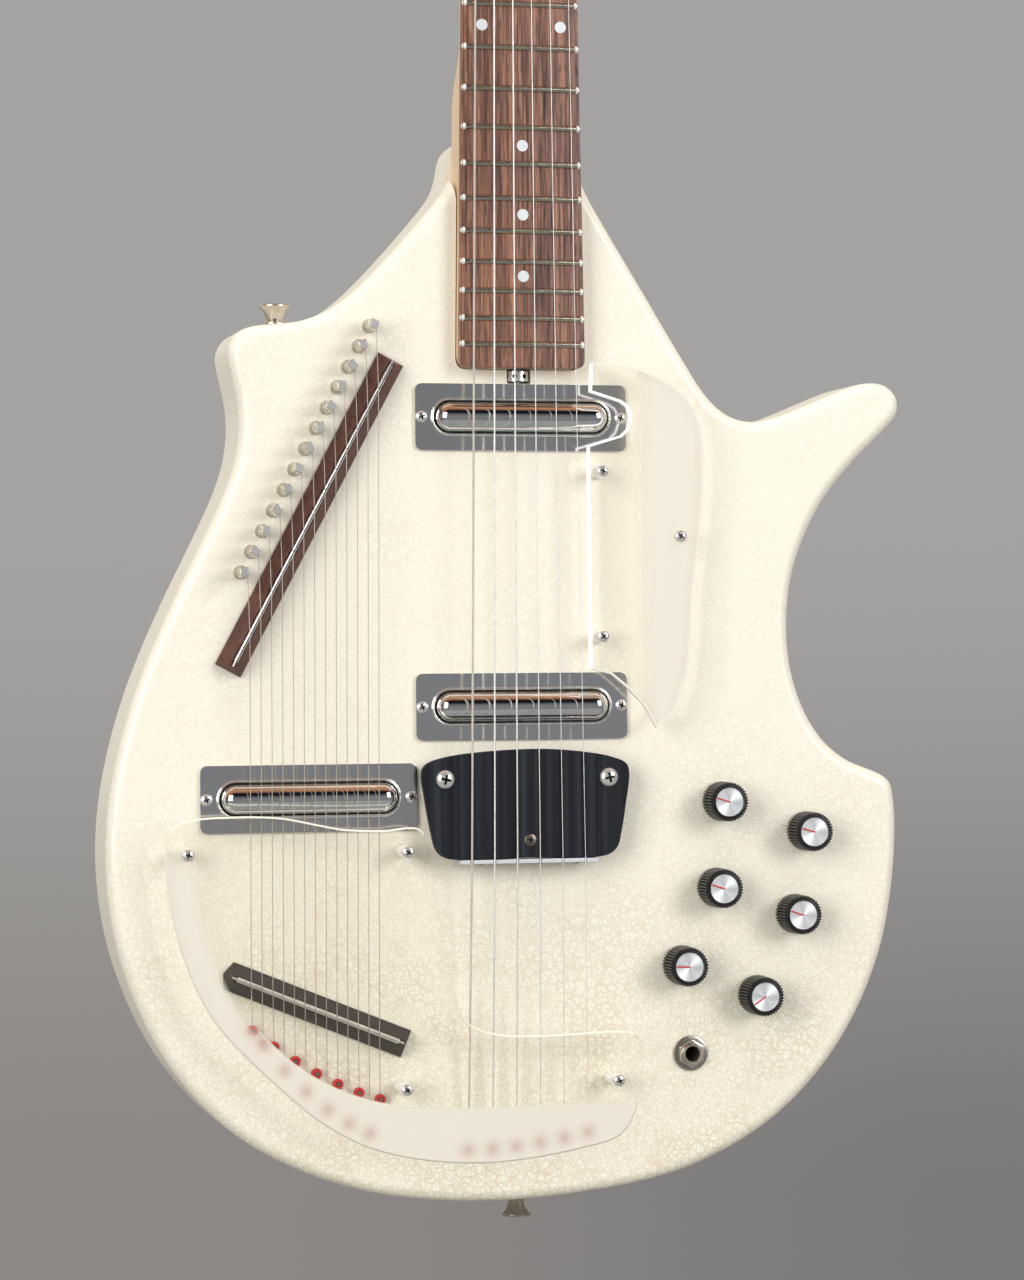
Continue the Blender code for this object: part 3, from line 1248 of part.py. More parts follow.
def clear_plate_mesh(outline, top, screws):
    """A clear plate with the standoffs and screw heads that hold it above the body."""
    plate = prism("plate", outline, front(top), front(top - PLATE_THICKNESS))
    head_radius, head_height = SCREW_HEAD
    profile = ((0, SEAT), (STANDOFF_RADIUS, SEAT), (STANDOFF_RADIUS, top - PLATE_THICKNESS / 2),
               (head_radius, top - PLATE_THICKNESS / 2), (head_radius, top + 0.5 * MM),
               (0.5 * head_radius, top + head_height), (0, top + head_height))
    posts = [turned("standoff", profile, 6, (0, -1, 0), (x, BODY_FRONT, z)) for x, z in screws]
    return joined(plate, gathered("standoffs", posts))


def strap_button_mesh(direction):
    """A strap button with its screw; its axis lies along Z and its foot at the origin."""
    height = STRAP_HEIGHT
    profile = ((0, -STRAP_SCREW_LENGTH), (STRAP_SCREW_RADIUS, -STRAP_SCREW_LENGTH + 2 * MM),
               (STRAP_SCREW_RADIUS, STRAP_SEAT), (STRAP_FOOT_RADIUS, STRAP_SEAT),
               (STRAP_NECK_RADIUS, 0.4 * height), (0.92 * STRAP_NECK_RADIUS, 0.6 * height),
               (STRAP_FLANGE_RADIUS, 0.85 * height), (STRAP_FLANGE_RADIUS, height - 0.4 * MM),
               (STRAP_FLANGE_RADIUS - 0.5 * MM, height), (0, height))
    return turned("strap_button", profile, 8, (0, 0, direction))


def neck_plate_mesh():
    """The neck plate with its four bolts, which reach into the heel."""
    start = BODY_BACK + SEAT
    plate = prism("neck_plate", rectangle((0, NECK_PLATE_CENTRE), NECK_PLATE_SIZE, NECK_PLATE_CORNER),
                  start, start + NECK_PLATE_THICKNESS)
    heel_back = BOARD_THICKNESS + SEAT + HEEL_DEPTH
    tip = heel_back - NECK_BOLT_REACH + SEAT
    head_radius, head_height = NECK_BOLT_HEAD
    top = start + NECK_PLATE_THICKNESS
    profile = ((0, tip), (NECK_BOLT_RADIUS, tip), (NECK_BOLT_RADIUS, start + MM), (head_radius, start + MM),
               (head_radius, top + 0.4 * MM), (0.5 * head_radius, top + head_height),
               (0, top + head_height))
    bolts = [turned("bolt", profile, 6, (0, 1, 0), (x, 0, z)) for x, z in neck_bolt_places()]
    return joined(plate, gathered("bolts", bolts))


# Assembly

def add_neck_pieces(finishes):
    """Neck, fingerboard, nut, truss rod and its wheel."""
    add_piece("neck", neck_mesh(), finishes["maple"])
    add_piece("fingerboard", fingerboard_mesh(), finishes["rosewood"])
    add_piece("nut", nut_mesh(), finishes["aluminium"])
    rod_end = BOARD_END - SEAT - TRUSS_WHEEL_LENGTH
    add_piece("truss_rod", rod("rod", (0, truss_rod_y(), -TRUSS_ROD_TOP), (0, truss_rod_y(), rod_end),
                               TRUSS_ROD_RADIUS, 8), finishes["steel"])
    add_piece("truss_wheel", truss_wheel_mesh(), finishes["nickel"],
              (0, truss_rod_y(), BOARD_END - 2 * SEAT))


def add_tuners(finishes):
    """The row of tuners, carried by an empty that stands on the first post's axis."""
    first, along, pitch = post_line()
    rail = bpy.data.objects.new("tuner_rail", None)
    rail.location = (first.x, 0, first.y)
    rail.rotation_euler = (0, math.atan2(along.x, along.y), 0)
    bpy.context.scene.collection.objects.link(rail)
    add_piece("tuner_plate", tuner_plate_mesh(), finishes["chrome"], parent=rail)
    post = post_mesh()
    button = button_mesh()
    for index in range(STRING_COUNT):
        location = (0, 0, pitch * index)
        add_piece(f"tuner_post_{index + 1}", post.copy(), finishes["chrome"], location, rail)
        add_piece(f"tuner_button_{index + 1}", button.copy(), finishes["ivory"], location, rail)


def add_body_pieces(finishes):
    """Body, back cover, neck plate and strap buttons."""
    add_piece("body", body_mesh(), finishes["lacquer"])
    cover = prism("back_cover", cavity_outline(COVER_LEDGE - SEAT), BODY_BACK - COVER_THICKNESS, BODY_BACK)
    add_piece("back_cover", cover, finishes["hardboard"])
    add_piece("neck_plate", neck_plate_mesh(), finishes["chrome"])
    add_piece("strap_button_upper", strap_button_mesh(1), finishes["nickel"],
              (STRAP_UPPER[0], BODY_MIDDLE, STRAP_UPPER[1]))
    add_piece("strap_button_lower", strap_button_mesh(-1), finishes["nickel"],
              (STRAP_LOWER[0], BODY_MIDDLE, STRAP_LOWER[1]))


def add_front_pieces(finishes):
    """Pickups, bridge, main strings and the two clear plates."""
    for name, place in PICKUPS.items():
        add_piece(f"{name}_pickup_tube", pickup_tube_mesh(place), finishes["chrome"])
        add_piece(f"{name}_pickup_bezel", bezel_mesh(place), finishes["plated"])
    add_piece("bridge_base", bridge_base_mesh(), finishes["chrome"])
    add_piece("buzz_plate", buzz_plate_mesh(), finishes["board"])
    add_piece("main_strings", main_strings_mesh(), finishes["steel"])
    pickguard = spline(on_body(PICKGUARD_KNOTS), 2, False) + on_body(PICKGUARD_CORNERS)
    add_piece("pickguard", clear_plate_mesh(pickguard, PICKGUARD_TOP, PICKGUARD_SCREWS), finishes["clear"])
    cover = flowing(spline(on_body(DRONE_COVER_KNOTS), 4, True), OUTLINE_TURN, OUTLINE_REACH)
    add_piece("drone_cover", clear_plate_mesh(cover, DRONE_COVER_TOP, DRONE_COVER_SCREWS), finishes["clear"])


def add_drone_pieces(finishes):
    """Drone bridges, drone strings and their tuning pins."""
    add_piece("drone_bridge_upper", drone_bridge_mesh(UPPER_SADDLE_ENDS, UPPER_BRIDGE_OVERHANG, 0.1 * MM),
              finishes["rosewood"])
    add_piece("drone_bridge_lower", drone_bridge_mesh(LOWER_SADDLE_ENDS, LOWER_BRIDGE_OVERHANG,
                                                      LOWER_BRIDGE_POINT), finishes["rosewood"])
    add_piece("drone_strings", drone_strings_mesh(), finishes["steel"])
    pin = pin_mesh()
    for index in range(DRONE_COUNT):
        x, z = pin_place(index)
        add_piece(f"drone_pin_{index + 1}", pin.copy(), finishes["nickel"], (x, BODY_FRONT, z))


def add_controls(finishes):
    """Knobs, potentiometers and the output jack."""
    knob = knob_mesh()
    for number, (x, z) in enumerate(KNOB_PLACES, start=1):
        add_piece(f"knob_{number}", knob.copy(), finishes["black"], (x, BODY_FRONT, z))
    add_piece("control_pots", controls_mesh(), finishes["aluminium"])
    add_piece("output_jack", jack_mesh(), finishes["nickel"])


def build():
    """Clear the scene and build the whole instrument."""
    for item in list(bpy.data.objects):
        bpy.data.objects.remove(item)
    finishes = make_finishes()
    add_body_pieces(finishes)
    add_neck_pieces(finishes)
    add_tuners(finishes)
    add_front_pieces(finishes)
    add_drone_pieces(finishes)
    add_controls(finishes)


build()
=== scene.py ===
"""The looks of an electric sitar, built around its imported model."""

import logging
import math
from contextlib import contextmanager
from dataclasses import dataclass
from enum import Enum
from typing import Callable, Iterator, Sequence

import bpy
from mathutils import Matrix, Vector


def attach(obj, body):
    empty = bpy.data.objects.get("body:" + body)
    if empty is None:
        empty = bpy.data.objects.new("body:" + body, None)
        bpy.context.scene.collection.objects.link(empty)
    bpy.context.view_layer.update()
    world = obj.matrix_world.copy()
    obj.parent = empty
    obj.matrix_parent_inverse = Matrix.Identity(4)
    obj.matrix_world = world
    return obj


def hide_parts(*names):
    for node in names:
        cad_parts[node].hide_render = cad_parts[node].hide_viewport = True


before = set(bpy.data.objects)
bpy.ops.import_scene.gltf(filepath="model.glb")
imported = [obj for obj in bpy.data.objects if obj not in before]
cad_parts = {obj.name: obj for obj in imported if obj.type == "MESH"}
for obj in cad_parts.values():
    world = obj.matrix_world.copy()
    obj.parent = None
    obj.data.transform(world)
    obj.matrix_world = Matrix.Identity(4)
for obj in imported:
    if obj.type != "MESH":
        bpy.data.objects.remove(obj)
LOG = logging.getLogger("electric_sitar")
MM = 0.001

Pair = tuple[float, float]
Triple = tuple[float, float, float]


# Places on the instrument, in millimetres: x to the treble side, z up the neck, height above the front

BODY_FRONT = 8.5
BODY_BACK = 53.0


def at(x: float, z: float, height: float = 0.0) -> Vector:
    """A point above the body's front, in metres."""
    return Vector((x, BODY_FRONT - height, z)) * MM


class Facing(Enum):
    """Which way a turned piece looks."""

    FRONT = Vector((0, -1, 0))
    BACK = Vector((0, 1, 0))
    UP = Vector((0, 0, 1))
    DOWN = Vector((0, 0, -1))


# Outlines

def smooth_curve(knots: Sequence[Pair], steps: int, closed: bool) -> list[Pair]:
    """Lay a smooth curve through knots.

    Args:
        knots: Points that the curve passes through.
        steps: Points for each span.
        closed: Whether the curve runs back to its first knot.

    Returns:
        The curve's points, with centripetal spacing so that it never loops.
    """
    count = len(knots)
    points: list[Vector] = []
    for span in range(count if closed else count - 1):
        if closed:
            four = [Vector(knots[(span + shift) % count]) for shift in (-1, 0, 1, 2)]
        else:
            four = [Vector(knots[min(max(span + shift, 0), count - 1)]) for shift in (-1, 0, 1, 2)]
            if span == 0:
                four[0] = 2 * four[1] - four[2]
            if span == count - 2:
                four[3] = 2 * four[2] - four[1]
        times = [0.0]
        for first, second in zip(four, four[1:]):
            times.append(times[-1] + math.sqrt((second - first).length))
        for step in range(steps):
            moment = times[1] + (times[2] - times[1]) * step / steps
            row = list(four)
            for level in range(1, 4):
                row = [row[k].lerp(row[k + 1], (moment - times[k]) / (times[k + level] - times[k]))
                       for k in range(4 - level)]
            points.append(row[0])
    if not closed:
        points.append(Vector(knots[-1]))
    return [(point.x, point.y) for point in points]


def rounded(corners: Sequence[Pair], radius: float, steps: int = 6) -> list[Pair]:
    """Round the corners of an outline by arcs of one radius."""
    points: list[Pair] = []
    for place, here in enumerate(corners):
        corner = Vector(here)
        back = Vector(corners[place - 1]) - corner
        ahead = Vector(corners[(place + 1) % len(corners)]) - corner
        half = back.angle(ahead) / 2
        reach = min(radius / math.tan(half), 0.48 * back.length, 0.48 * ahead.length)
        start = corner + back.normalized() * reach
        end = corner + ahead.normalized() * reach
        for step in range(steps + 1):
            share = step / steps
            point = start.lerp(corner, share).lerp(corner.lerp(end, share), share)
            points.append((point.x, point.y))
    return points


def round_end(half: float, end: float, radius: float) -> list[Pair]:
    """The lower end of an upright bar, with its two corners rounded."""
    steps, rest = 6, 15
    corners = [(-half, end), (half, end), (half, end + rest), (-half, end + rest)]
    return rounded(corners, radius, steps)[:2 * (steps + 1)]


def block_outline(centre: Pair, size: Pair, radius: float, steps: int = 6) -> list[Pair]:
    """A rounded rectangle round a centre."""
    corners = [(centre[0] + a * size[0] / 2, centre[1] + b * size[1] / 2)
               for a, b in ((1, 1), (-1, 1), (-1, -1), (1, -1))]
    return rounded(corners, radius, steps)


def slot_outline(centre: Pair, length: float, width: float, steps: int = 10) -> list[Pair]:
    """A slot with round ends, lying along X."""
    points = []
    for quarter, side in enumerate((1, -1, -1, 1)):
        for step in range(steps + 1):
            angle = (quarter + step / steps) * math.pi / 2
            points.append((centre[0] + side * (length - width) / 2 + width / 2 * math.cos(angle),
                           centre[1] + width / 2 * math.sin(angle)))
    return points


def bar_outline(start: Vector, end: Vector, half: float) -> list[Vector]:
    """A straight bar from start to end, so much to each side."""
    along = (end - start).normalized()
    across = Vector((-along.y, along.x)) * half
    return [start - across, end - across, end + across, start + across]


def circle_outline(centre: Pair, radius: float, sides: int) -> list[Pair]:
    """A regular polygon round a centre."""
    return [(centre[0] + radius * math.cos(2 * math.pi * (side + 0.5) / sides),
             centre[1] + radius * math.sin(2 * math.pi * (side + 0.5) / sides)) for side in range(sides)]


# The bench: meshes made with Blender's own tools

def choose(*parts: bpy.types.Object) -> None:
    """Select these objects alone, the first one active."""
    bpy.ops.object.select_all(action="DESELECT")
    bpy.context.view_layer.objects.active = parts[0]
    for part in parts:
        part.select_set(True)


@contextmanager
def editing(part: bpy.types.Object) -> Iterator[None]:
    """Hold one object in edit mode, with all of it selected."""
    choose(part)
    bpy.ops.object.mode_set(mode="EDIT")
    bpy.ops.mesh.select_all(action="SELECT")
    yield
    bpy.ops.object.mode_set(mode="OBJECT")


class Work:
    """One piece on the bench; its methods are the steps of making it."""

    def __init__(self, part: bpy.types.Object, name: str) -> None:
        """Take an object on the bench under a name."""
        self.part = part
        part.name = name
        part.data.name = name

    @classmethod
    def sheet(cls, name: str, corners: Sequence[Vector], filled: bool = True) -> "Work":
        """Start from a circle whose corners are moved to their places.

        Args:
            name: The piece's name.
            corners: The places, in metres, in order round the outline.
            filled: Whether the outline holds a face.

        Returns:
            The new piece.
        """
        bpy.ops.object.select_all(action="DESELECT")
        bpy.ops.mesh.primitive_circle_add(vertices=len(corners), fill_type="NGON" if filled else "NOTHING")
        part = bpy.context.object
        for vertex, place in zip(part.data.vertices, corners):
            vertex.co = place
        return cls(part, name)

    @classmethod
    def plate(cls, name: str, outline: Sequence[Pair], top: float, bottom: float) -> "Work":
        """A flat piece: an outline given a thickness.

        Args:
            name: The piece's name.
            outline: Points as x and z, in millimetres, as pairs or flat vectors.
            top: Height of its upper face above the body's front.
            bottom: Height of its lower face.

        Returns:
            The new piece.
        """
        work = cls.sheet(name, [at(x, z, top) for x, z in outline])
        with editing(work.part):
            bpy.ops.mesh.extrude_region_move(TRANSFORM_OT_translate={"value": (0, (top - bottom) * MM, 0)})
            bpy.ops.mesh.select_all(action="SELECT")
            bpy.ops.mesh.normals_make_consistent(inside=False)
        return work

    @classmethod
    def turned(cls, name: str, profile: Sequence[Pair], centre: Vector, steps: int,
               facing: Vector = Facing.FRONT.value) -> "Work":
        """A turned piece: a profile spun round an axis.

        Args:
            name: The piece's name.
            profile: Pairs of radius and distance along the axis, in millimetres.
            centre: Where distance is nothing, in metres.
            steps: How many sides it gets.
            facing: The axis.

        Returns:
            The new piece.
        """
        along = facing.normalized()
        side = Vector((0, 0, 1)) if abs(along.z) < 0.9 else Vector((1, 0, 0))
        across = along.cross(side).normalized()
        corners = [centre + (across * radius + along * distance) * MM for radius, distance in profile]
        work = cls.sheet(name, corners, filled=False)
        with editing(work.part):
            bpy.ops.mesh.spin(steps=steps, angle=2 * math.pi, center=centre, axis=along)
        return work.cleaned()

    @classmethod
    def tube(cls, name: str, path: Sequence[Vector], radius: float, rounds: int = 2,
             closed: bool = False) -> "Work":
        """A round bar along a path.

        Args:
            name: The piece's name.
            path: Points in metres.
            radius: In millimetres.
            rounds: Bevel resolution of the section.
            closed: Whether the path is a loop.

        Returns:
            The new piece.
        """
        curve = bpy.data.curves.new(name, "CURVE")
        curve.dimensions = "3D"
        curve.bevel_depth = radius * MM
        curve.bevel_resolution = rounds
        curve.use_fill_caps = not closed
        spline = curve.splines.new("POLY")
        spline.points.add(len(path) - 1)
        for point, place in zip(spline.points, path):
            point.co = (*place, 1)
        spline.use_cyclic_u = closed
        part = bpy.data.objects.new(name, curve)
        bpy.context.scene.collection.objects.link(part)
        choose(part)
        bpy.ops.object.convert(target="MESH")
        return cls(bpy.context.object, name).cleaned()

    def cleaned(self) -> "Work":
        """Merge doubled corners and point the faces outwards."""
        with editing(self.part):
            bpy.ops.mesh.remove_doubles(threshold=1e-6)
            bpy.ops.mesh.normals_make_consistent(inside=False)
        return self

    def rimmed(self, width: float) -> "Work":
        """Draw a rim of a width in millimetres along the edge of the front face."""
        mesh = self.part.data
        front = min(vertex.co.y for vertex in mesh.vertices) + 1e-5
        with editing(self.part):
            bpy.ops.mesh.select_all(action="DESELECT")
        for vertex in mesh.vertices:
            vertex.select = vertex.co.y < front
        for flat in (*mesh.edges, *mesh.polygons):
            flat.select = all(mesh.vertices[k].select for k in flat.vertices)
        bpy.ops.object.mode_set(mode="EDIT")
        bpy.ops.mesh.inset(thickness=width * MM, depth=0)
        bpy.ops.object.mode_set(mode="OBJECT")
        return self

    def applied(self, kind: str, **settings: object) -> "Work":
        """Add one modifier with its settings and apply it."""
        choose(self.part)
        modifier = self.part.modifiers.new(kind, kind)
        for key, value in settings.items():
            setattr(modifier, key, value)
        bpy.ops.object.modifier_apply(modifier=modifier.name)
        return self

    def beveled(self, width: float, segments: int = 3, angle: float = 30.0) -> "Work":
        """Round the edges that are sharper than an angle by a width in millimetres."""
        return self.applied("BEVEL", width=width * MM, segments=segments, limit_method="ANGLE",
                            angle_limit=math.radians(angle), harden_normals=False)

    def cut(self, *tools: "Work") -> "Work":
        """Take the tools' shapes out of the piece."""
        return self._combined("DIFFERENCE", tools)

    def joined(self, *others: "Work") -> "Work":
        """Weld other pieces to this one as one solid."""
        return self._combined("UNION", others)

    def kept(self, tool: "Work") -> "Work":
        """Keep only what lies inside the tool."""
        return self._combined("INTERSECT", (tool,))

    def _combined(self, operation: str, tools: Sequence["Work"]) -> "Work":
        """Apply one Boolean for each tool, and put the tools away."""
        for tool in tools:
            self.applied("BOOLEAN", operation=operation, solver="EXACT", object=tool.part)
            bpy.data.objects.remove(tool.part)
        return self

    def gathered(self, *others: "Work") -> "Work":
        """Take other pieces into the same object, each still a solid of its own."""
        choose(self.part, *(other.part for other in others))
        bpy.ops.object.join()
        return self

    def shaped(self, move: Callable[[Vector], Vector]) -> "Work":
        """Move each corner by a rule."""
        for vertex in self.part.data.vertices:
            vertex.co = move(vertex.co.copy())
        return self

    def moved(self, matrix: Matrix) -> "Work":
        """Place the mesh by a matrix."""
        self.part.data.transform(matrix)
        return self

    def copied(self, name: str, shift: Vector, turn: float = 0.0) -> "Work":
        """A copy with its own mesh, turned about the axis from front to back and then shifted."""
        part = self.part.copy()
        part.data = self.part.data.copy()
        bpy.context.scene.collection.objects.link(part)
        matrix = Matrix.Translation(shift) @ Matrix.Rotation(turn, 4, "Y")
        return Work(part, name).moved(matrix)

    def marked(self, rule: Callable[[Vector, Vector], bool], finish: int = 1) -> "Work":
        """Give the faces that a rule picks by centre and normal another of the piece's finishes."""
        for face in self.part.data.polygons:
            if rule(face.center, face.normal):
                face.material_index = finish
        return self

    def discarded(self) -> None:
        """Put away a piece that only served as a pattern."""
        bpy.data.objects.remove(self.part)

    def smooth(self, angle: float = 35.0) -> "Work":
        """Shade it smooth up to an angle."""
        choose(self.part)
        bpy.ops.object.shade_smooth_by_angle(angle=math.radians(angle))
        return self.applied("WEIGHTED_NORMAL", keep_sharp=True, weight=90)

    def dressed(self, material: bpy.types.Material, slot: str, body: str = "instrument",
                replaces: Sequence[str] = (), others: Sequence[bpy.types.Material] = ()) -> "Work":
        """Finish the piece.

        Args:
            material: Its finish.
            slot: The record's material slot; not used.
            body: The body it rides on.
            replaces: The solids it stands for.
            others: The finishes of its marked faces.

        Returns:
            The same piece.
        """
        mesh = self.part.data
        marks = [min(face.material_index, len(others)) for face in mesh.polygons]
        mesh.materials.clear()
        for finish in (material, *others):
            mesh.materials.append(finish)
        mesh.polygons.foreach_set("material_index", marks)
        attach(self.part, body)
        if replaces:
            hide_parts(*replaces)
        LOG.info("%s: %d faces, rides on %s", self.part.name, len(self.part.data.polygons), body)
        return self


# Shader maths

class Wire:
    """A shader socket that takes part in sums, each of which adds a Math node."""

    def __init__(self, sheet: "Sheet", socket: bpy.types.NodeSocket) -> None:
        """Wrap an output socket of a sheet's tree."""
        self.sheet = sheet
        self.socket = socket

    def _math(self, operation: str, *values: object) -> "Wire":
        """One Math node on the given values."""
        return self.sheet.add("ShaderNodeMath", {"operation": operation}, dict(enumerate(values)))

    def __add__(self, other: object) -> "Wire":
        """Sum."""
        return self._math("ADD", self, other)

    def __radd__(self, other: object) -> "Wire":
        """Sum from the left."""
        return self._math("ADD", other, self)

    def __sub__(self, other: object) -> "Wire":
        """Difference."""
        return self._math("SUBTRACT", self, other)

    def __rsub__(self, other: object) -> "Wire":
        """Difference from the left."""
        return self._math("SUBTRACT", other, self)

    def __mul__(self, other: object) -> "Wire":
        """Product."""
        return self._math("MULTIPLY", self, other)

    def __rmul__(self, other: object) -> "Wire":
        """Product from the left."""
        return self._math("MULTIPLY", other, self)

    def __truediv__(self, other: object) -> "Wire":
        """Quotient."""
        return self._math("DIVIDE", self, other)

    def __pow__(self, other: object) -> "Wire":
        """Power."""
        return self._math("POWER", self, other)

    def apply(self, operation: str, *values: object) -> "Wire":
        """Any other Math operation, such as SINE or MAXIMUM."""
        return self._math(operation, self, *values)

    def step(self, low: float, high: float) -> "Wire":
        """A soft step from nothing at low to one at high."""
        return self.sheet.add("ShaderNodeMapRange", {"interpolation_type": "SMOOTHSTEP"},
                              {"Value": self, "From Min": low, "From Max": high})


class Sheet:
    """The node tree of one material, or of the world."""

    def __init__(self, name: str, world: bool = False) -> None:
        """Start a material with its Principled shader, or a world with its background."""
        self.material = (bpy.data.worlds if world else bpy.data.materials).new(name)
        self.material.use_nodes = True
        self.tree = self.material.node_tree
        self.surface = self.tree.nodes["Background" if world else "Principled BSDF"]
        self.output = self.tree.nodes["World Output" if world else "Material Output"]

    def add(self, kind: str, settings: dict[str, object] | None = None,
            values: dict[str | int, object] | None = None, out: str | int = 0) -> Wire:
        """Add a node.

        Args:
            kind: The node's type.
            settings: Its properties, set first; a ramp's stops go under "stops".
            values: Its inputs by name or number, as constants or wires.
            out: Which output to return.

        Returns:
            The output as a wire.
        """
        node = self.tree.nodes.new(kind)
        for key, value in (settings or {}).items():
            if key == "stops":
                self._stops(node.color_ramp, value)
            else:
                setattr(node, key, value)
        for key, value in (values or {}).items():
            self.feed(node.inputs[key], value)
        return Wire(self, node.outputs[out])

    @staticmethod
    def _stops(ramp: bpy.types.ColorRamp, stops: Sequence[tuple[float, Triple]]) -> None:
        """Set a colour ramp's stops."""
        while len(ramp.elements) < len(stops):
            ramp.elements.new(0.5)
        for element, (place, colour) in zip(ramp.elements, stops):
            element.position = place
            element.color = (*colour, 1)

    def feed(self, socket: bpy.types.NodeSocket, value: object) -> None:
        """Link a wire to a socket, or set its constant."""
        if isinstance(value, Wire):
            self.tree.links.new(value.socket, socket)
        elif isinstance(value, (tuple, Vector)) and len(value) == 3 and socket.type == "RGBA":
            socket.default_value = (*value, 1)
        else:
            socket.default_value = value

    def set(self, **values: object) -> "Sheet":
        """Feed the Principled shader; underscores stand for spaces, as in Base_Color."""
        for key, value in values.items():
            self.feed(self.surface.inputs[key.replace("_", " ")], value)
        return self

    def place(self) -> Wire:
        """The point on the piece, in metres."""
        return self.add("ShaderNodeTexCoord", out="Object")

    def part_of(self, vector: Wire, axis: int) -> Wire:
        """One of a vector's parts."""
        return self.add("ShaderNodeSeparateXYZ", None, {0: vector}, axis)

    def mapped(self, scale: Triple = (1, 1, 1), turn: Triple = (0, 0, 0),
               shift: Triple = (0, 0, 0)) -> Wire:
        """The point shifted, turned and scaled."""
        return self.add("ShaderNodeMapping", None,
                        {"Vector": self.place(), "Scale": scale, "Rotation": turn, "Location": shift})

    def noise(self, vector: Wire, scale: float, detail: float = 2.0, rough: float = 0.5) -> Wire:
        """Soft noise between nothing and one."""
        return self.add("ShaderNodeTexNoise", None,
                        {"Vector": vector, "Scale": scale, "Detail": detail, "Roughness": rough})

    def mix(self, factor: Wire | float, first: object, second: object) -> Wire:
        """Blend two colours."""
        return self.add("ShaderNodeMix", {"data_type": "RGBA"}, {0: factor, 6: first, 7: second}, 2)

    def ramp(self, value: Wire, *stops: tuple[float, Triple]) -> Wire:
        """Colours along a value."""
        return self.add("ShaderNodeValToRGB", {"stops": stops}, {0: value})

    def bump(self, height: Wire, distance: float, strength: float = 1.0) -> Wire:
        """A bumped normal; distance in millimetres."""
        return self.add("ShaderNodeBump", None,
                        {"Height": height, "Distance": distance * MM, "Strength": strength})

    def jitter(self, vector: Wire, scale: float, reach: float) -> Wire:
        """A vector shaken by noise of a scale, over a reach in millimetres."""
        shake = self.add("ShaderNodeTexNoise", None, {"Vector": vector, "Scale": scale}, "Color")
        centred = self.vector("SUBTRACT", {0: shake, 1: (0.5, 0.5, 0.5)})
        scaled = self.vector("SCALE", {0: centred, "Scale": reach * MM})
        return self.vector("ADD", {0: vector, 1: scaled})

    def vector(self, operation: str, values: dict[str | int, object]) -> Wire:
        """One Vector Math node."""
        return self.add("ShaderNodeVectorMath", {"operation": operation}, values)


# Finishes

@dataclass(frozen=True)
class CrackleLacquer:
    """Cream lacquer whose top coat has drawn apart into fine cells."""

    name: str = "crackle_lacquer"
    cream: Triple = (0.885, 0.838, 0.715)
    pale: Triple = (0.905, 0.872, 0.765)
    crack: Triple = (0.60, 0.47, 0.27)
    cell: float = 2.2
    line: float = 0.16

    def make(self) -> bpy.types.Material:
        """Build the material: fine cells all over, wide ones in patches, and cracks drawn darker towards the
        bottom, which is painted shade on real cracks.
        """
        sheet = Sheet(self.name)
        point = sheet.place()
        shaken = sheet.jitter(sheet.jitter(point, 160.0, 3.2), 620.0, 1.1)
        scale = 1 / (self.cell * MM)
        fine, wide = (sheet.add("ShaderNodeTexVoronoi", {"feature": "DISTANCE_TO_EDGE"},
                                {"Vector": shaken, "Scale": each, "Randomness": 1.0})
                      for each in (scale, scale * 0.55))
        patches = sheet.noise(point, 34.0, 3.0)
        # Painted shade: low makes the cracks' colour stronger towards the bottom of the body, standing in
        # for the shade there.
        low = 1 - sheet.part_of(point, 2).step(-0.80, -0.60)
        hairs = (1 - fine.step(0.0, self.line)) * (0.35 + patches * 0.7)
        lines = (1 - wide.step(0.0, self.line * 0.8)) * patches.step(0.38, 0.60)
        cracks = hairs.apply("MAXIMUM", lines)
        speckle = sheet.noise(point, 1100.0, 2.0, 0.6)
        ground = sheet.mix(patches.step(0.35, 0.7) * 0.6 + speckle * 0.4, self.cream, self.pale)
        sheet.set(Base_Color=sheet.mix(cracks * (0.22 + low * 0.36), ground, self.crack),
                  Roughness=0.32 + cracks * 0.15 + speckle * 0.08,
                  Coat_Weight=0.30, Coat_Roughness=0.15,
                  Normal=sheet.bump(cracks * -1.0 + speckle * 0.25, 0.05))
        return sheet.material


@dataclass(frozen=True)
class OpenWood:
    """Wood with long streaks and open pores along its grain."""

    name: str
    dark: Triple
    middle: Triple
    light: Triple
    pore: Triple
    grain: float = 0.0
    pores: float = 0.6
    roughness: float = 0.42
    streak: float = 640.0
    contrast: float = 1.0

    def make(self) -> bpy.types.Material:
        """Build the material; grain is its turn from the neck's direction, in degrees."""
        sheet = Sheet(self.name)
        turn = (0, math.radians(self.grain), 0)
        streaks = sheet.noise(sheet.mapped((1, 1, 0.028), turn), self.streak, 6.0, 0.76)
        bands = sheet.noise(sheet.mapped((1, 1, 0.03), turn), 110.0, 3.0)
        pores = sheet.noise(sheet.mapped((1, 1, 0.05), turn), 2300.0, 1.0)
        tone = (streaks * 0.78 + bands * 0.22 - 0.5) * self.contrast + 0.5
        wood = sheet.ramp(tone, (0.18, self.dark), (0.48, self.middle), (0.80, self.light))
        open_pores = pores.step(0.56, 0.70) * self.pores
        sheet.set(Base_Color=sheet.mix(open_pores, wood, self.pore),
                  Roughness=self.roughness + open_pores * 0.25,
                  Normal=sheet.bump(streaks * 0.3 - open_pores, 0.06))
        return sheet.material


